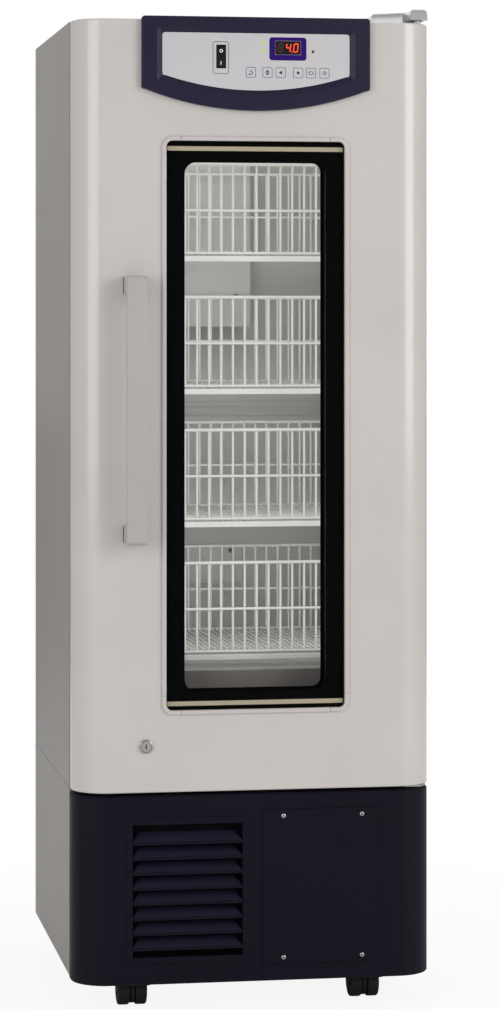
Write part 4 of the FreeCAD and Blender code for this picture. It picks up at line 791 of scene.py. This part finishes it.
# ---------------------------------------------------------------- wire baskets
def basket(index):
    node = "basket_%d" % (index + 1)
    rim = 1295.0 - 206.0 * index
    bottom = rim - 153.0
    x, y0, y1 = 196.0, -168.5, 171.5
    floor = bottom + 10.5
    lines = []

    def loop(z, radius, inset):
        a, b, c, r = x - inset, y0 + inset, y1 - inset, 9.0
        points = [(u, v, z) for u, v in rounded(-a, a, b, c, r, 4)]
        lines.append((points, radius, True))

    loop(rim - 2.5, 2.5, 2.5)
    loop(rim - 74.0, 2.0, 2.0)
    loop(rim - 140.0, 2.0, 2.0)
    count = 40
    for i in range(count + 1):
        px = -x + 8 + (2 * x - 16) * i / count
        up = rim - 3.0 if i % 2 == 0 else rim - 140.0
        a, b = y0 + 4.6, y1 - 4.6
        lines.append((bend([(px, a, up), (px, a, floor), (px, b, floor), (px, b, up)], 5.0, 3), 1.6 if i % 2 else 1.9,
                      False))
    for i in range(13):
        py = y0 + 10 + (y1 - y0 - 20) * i / 12
        a = x - 4.6
        lines.append((bend([(-a, py, rim - 3), (-a, py, floor - 3.0), (a, py, floor - 3.0), (a, py, rim - 3)], 5.0,
                           3), 1.9, False))
    wires(node + "_wires", lines, "coated_wire", node, replaces=[node])
    parts = [block(-x, x, y0, y0 + 3, bottom, bottom + 8.5)]
    for s in (-1, 1):
        parts.append(block(*sorted((s * 188, s * 191)), y0 + 3, y1, bottom, bottom + 8.5))
        parts.append(block(*sorted((s * 188, s * 214)), y0 + 80, y1, bottom + 3, bottom + 6))
    make(node + "_strip", *merged(parts), "coated_wire", node, bevel=0.6, segments=2)


# ---------------------------------------------------------------- casters
def casters():
    for name, cx, cy in (("front_left", -181.5, -201.5), ("front_right", 181.5, -201.5),
                         ("back_left", -181.5, 240.5), ("back_right", 181.5, 240.5)):
        ay = cy + 14.0

        def outline(g, z, r=10.0):
            return [(u, v, z) for u, v in rounded(cx - 29 + g, cx + 29 - g, cy - 17 + g, cy + 33 - g, max(r - g, 0.5),
                                                  6)]

        outer = [outline(1.0, 34.0), outline(0.3, 34.3), outline(0, 35.2), outline(0, 47.5), outline(1.0, 50.6),
                 outline(3.4, 52.9), outline(6.5, 53.7)]
        v, f = loft(outer, caps=(False, True))
        inner = [outline(1.0, 34.0), outline(2.2, 34.2), outline(2.4, 49.0)]
        v2, f2 = loft(inner, caps=(False, False))
        stem = lathe((cx, cy, 0), "Z", [(5.5, 53.0), (5.5, 83.7)], 24)
        web = lathe((0, ay, 25.0), "X", [(0.005, cx - 3.5), (21.6, cx - 3.5), (22.4, cx - 2.7), (22.4, cx + 2.7),
                                         (21.6, cx + 3.5), (0.005, cx + 3.5)], 40)
        make("caster_hood_" + name, *merged([(v, f), (v2, f2), stem, web]), "caster_black", "fork_" + name,
             replaces=["caster_fork_" + name], sharp=40)
        parts = [lathe((0, ay, 25.0), "X", [(4.0, cx - 3.8), (4.0, cx + 3.8)], 20)]
        for s in (-1, 1):
            profile = [(4.0, 3.8), (19.0, 3.8), (20.0, 4.6), (22.6, 4.6), (23.8, 4.9), (24.7, 6.2), (25.0, 8.2),
                       (25.0, 18.2), (24.6, 20.4),
                       (23.4, 21.6), (21.6, 22.0), (20.6, 22.0), (19.8, 21.0), (18.8, 20.6), (9.0, 20.0), (8.4,
                               21.4), (7.6, 21.9), (0.005, 22.0)]
            parts.append(lathe((0, ay, 25.0), "X", [(r, cx + s * a) for r, a in profile], 48))
        make("caster_wheel_pair_" + name, *merged(parts), "caster_tyre", "wheels_" + name,
             replaces=["caster_wheels_" + name], sharp=35)


# ---------------------------------------------------------------- back and machine parts
def rear():
    side = HALF - 1.0
    y1 = BACK - 3.0
    loops = [rounded(-side, side, 54.0, 457.0, 1.0, 2)]
    for row in range(7):
        z = 130 + row * 40.0
        loops += [rounded(a, a + 190, z, z + 12, 5.9, 5) for a in (-205.0, 15.0)]
    loops.append(rounded(-239, -211, 81, 103, 0.5, 2))
    plate("rear_guard_sheet", loops, y1 - 1, y1, "galvanised", "cabinet", bevel=0.2, replaces=["rear_guard"])
    pins = [block(-225 + a - 1.1, -225 + a + 1.1, y1 - 13, y1 - 1.5, 92 + b - 2.6, 92 + b + 2.6) for a,
            b in ((-6, -2), (6, -2), (0, 3.2))]
    make("inlet_pins", *merged(pins), "nickel", "cabinet", bevel=0.3, segments=2)


def gasket():
    def loop(inset, y):
        x, z0, z1 = 255.5 - inset, 357.8 + inset, 1486.0 - inset
        return [(-x, y, z0), (x, y, z0), (x, y, z1), (-x, y, z1)]

    b = DOOR_BACK
    profile = [(0, 0), (0.2, 1.4), (3.2, 2.2), (2.6, 4.2), (1.8, 6.0), (1.6, 8.0), (2.4, 10.0), (4.2, 11.5),
               (13.4, 11.5),
               (15.2, 10.2), (15.9, 8.2), (15.6, 6.0), (14.6, 4.2), (15.0, 2.2), (17.8, 1.4), (18.0, 0)]
    v, f = loft([loop(i, b + d) for i, d in profile], caps=(False, False))
    make("door_seal", v, f, "gasket_grey", "door", replaces=["door_gasket"], sharp=60)


def compressor():
    cx, cy, top = 110.0, 130.0, 248.0
    profile = [(0.005, 75.5), (58, 75.5), (68, 80), (74, 90), (76, 104), (76, 158), (77.6, 159), (77.6, 166),
               (76, 167), (76, 206),
               (73.5, 220), (66, 233), (52, 242), (30, 247), (0.005, top)]
    shell = lathe((cx, cy, 0), "Z", profile, 48)
    base = block(cx - 93, cx + 93, cy - 69, cy + 69, 72, 75)
    cover_box = block(cx - 28, cx + 28, cy - 96, cy - 38, 105, 175)
    make("compressor_shell", *merged([shell, base, cover_box]), "compressor_black", "cabinet",
         replaces=["compressor"], bevel=1.5)
    feet = [lathe((cx + a, cy + b, 0), "Z", [(9, 56), (9, 60), (7, 62), (7, 66), (9, 68), (9, 72)], 24) for a in (-84,
            84) for b in (-60, 60)]
    make("compressor_feet", *merged(feet), "caster_tyre", "cabinet")
    make("pipe_stub", *lathe((cx - 38, cy, 0), "Z", [(4, 222), (4, 272), (3, 273.8)], 20), "copper", "cabinet",
         slot="compressor_black")


case()
screws()
door()
window()
handle()
fascia()
controls()
lock()
top_hinge()
lower_hinge()
cover()
grille()
access_plate()
for number in range(4):
    basket(number)
casters()
rear()
gasket()
compressor()


# ---------------------------------------------------------------- stage, light, camera
def floor():
    mesh = bpy.data.meshes.new("floor")
    mesh.from_pydata([(-9, -9, 0), (9, -9, 0), (9, 9, 0), (-9, 9, 0)], [], [[0, 1, 2, 3]])
    piece = bpy.data.objects.new("floor", mesh)
    bpy.context.scene.collection.objects.link(piece)
    m = bpy.data.materials.new("floor_pale")
    m.use_nodes = True
    nodes, links = m.node_tree.nodes, m.node_tree.links
    shader = nodes["Principled BSDF"]
    shader.inputs["Base Color"].default_value = (0.86, 0.86, 0.86, 1)
    shader.inputs["Roughness"].default_value = 0.9
    shader.inputs["Specular IOR Level"].default_value = 0.1
    glow = nodes.new("ShaderNodeEmission")
    glow.inputs["Color"].default_value = (1, 1, 1, 1)
    rays = nodes.new("ShaderNodeLightPath")
    place = nodes.new("ShaderNodeTexCoord")
    length = nodes.new("ShaderNodeVectorMath")
    length.operation = "LENGTH"
    links.new(place.outputs["Object"], length.inputs[0])
    far = nodes.new("ShaderNodeMapRange")
    far.interpolation_type = "SMOOTHSTEP"
    far.inputs["From Min"].default_value = 0.4
    far.inputs["From Max"].default_value = 1.3
    far.inputs["To Min"].default_value = 0.9
    far.inputs["To Max"].default_value = 1.0
    links.new(length.outputs["Value"], far.inputs["Value"])
    share = nodes.new("ShaderNodeMath")
    share.operation = "MULTIPLY"
    links.new(rays.outputs["Is Camera Ray"], share.inputs[0])
    links.new(far.outputs["Result"], share.inputs[1])
    mix = nodes.new("ShaderNodeMixShader")
    links.new(share.outputs["Value"], mix.inputs["Fac"])
    links.new(shader.outputs["BSDF"], mix.inputs[1])
    links.new(glow.outputs["Emission"], mix.inputs[2])
    links.new(mix.outputs["Shader"], nodes["Material Output"].inputs["Surface"])
    mesh.materials.append(m)


def area_light(name, where, aim, size, power):
    data = bpy.data.lights.new(name, "AREA")
    data.shape = "RECTANGLE"
    data.size, data.size_y = size
    data.energy = power
    lamp = bpy.data.objects.new(name, data)
    lamp.location = where
    lamp.rotation_euler = (Vector(aim) - Vector(where)).to_track_quat("-Z", "Y").to_euler()
    bpy.context.scene.collection.objects.link(lamp)
    lamp.visible_camera = False
    lamp.visible_glossy = not name.startswith("inside")


def surroundings():
    world = bpy.data.worlds.new("studio")
    bpy.context.scene.world = world
    world.use_nodes = True
    nodes, links = world.node_tree.nodes, world.node_tree.links
    plain = nodes["Background"]
    plain.inputs["Color"].default_value = (1, 1, 1, 1)
    plain.inputs["Strength"].default_value = 0.42
    white = nodes.new("ShaderNodeBackground")
    white.inputs["Color"].default_value = (1, 1, 1, 1)
    white.inputs["Strength"].default_value = 1.0
    rays = nodes.new("ShaderNodeLightPath")
    add = nodes.new("ShaderNodeMath")
    add.operation = "MAXIMUM"
    links.new(rays.outputs["Is Camera Ray"], add.inputs[0])
    links.new(rays.outputs["Is Transmission Ray"], add.inputs[1])
    mix = nodes.new("ShaderNodeMixShader")
    links.new(add.outputs["Value"], mix.inputs["Fac"])
    links.new(plain.outputs["Background"], mix.inputs[1])
    links.new(white.outputs["Background"], mix.inputs[2])
    links.new(mix.outputs["Shader"], nodes["World Output"].inputs["Surface"])
    area_light("key", (3.2, -2.9, 2.0), (0, 0, 0.8), (2.2, 2.8), 82)
    area_light("fill", (-3.0, -2.6, 1.7), (0, 0, 0.8), (2.4, 2.4), 52)
    area_light("top", (0.2, 0.6, 3.6), (0, 0.1, 0.8), (2.2, 2.2), 22)
    area_light("rear", (0.5, 3.6, 1.9), (0, 0, 0.8), (2.4, 2.4), 44)
    # light that reaches the cavity; neither of these two is a lamp of the object
    area_light("inside_front", (0, -0.19, 0.98), (0, 0.25, 0.98), (0.38, 0.88), 0.8)
    area_light("inside_middle", (0, -0.12, 0.98), (0, 0.25, 0.98), (0.36, 0.88), 1.35)


def camera():
    data = bpy.data.cameras.new("camera")
    data.sensor_width = 36.0
    data.lens = 3063.0 / 1009.0 * 36.0
    data.shift_x = 40.2 / 1009.0
    data.shift_y = -193.4 / 1009.0
    data.clip_end = 100
    eye = bpy.data.objects.new("camera", data)
    eye.location = (-0.814, -4.855, 1.065)
    eye.rotation_euler = (math.radians(90), 0, math.radians(-9.19))
    bpy.context.scene.collection.objects.link(eye)
    bpy.context.scene.camera = eye


floor()
surroundings()
camera()
bpy.context.scene.view_settings.view_transform = "Standard"

bpy.context.view_layer.update()
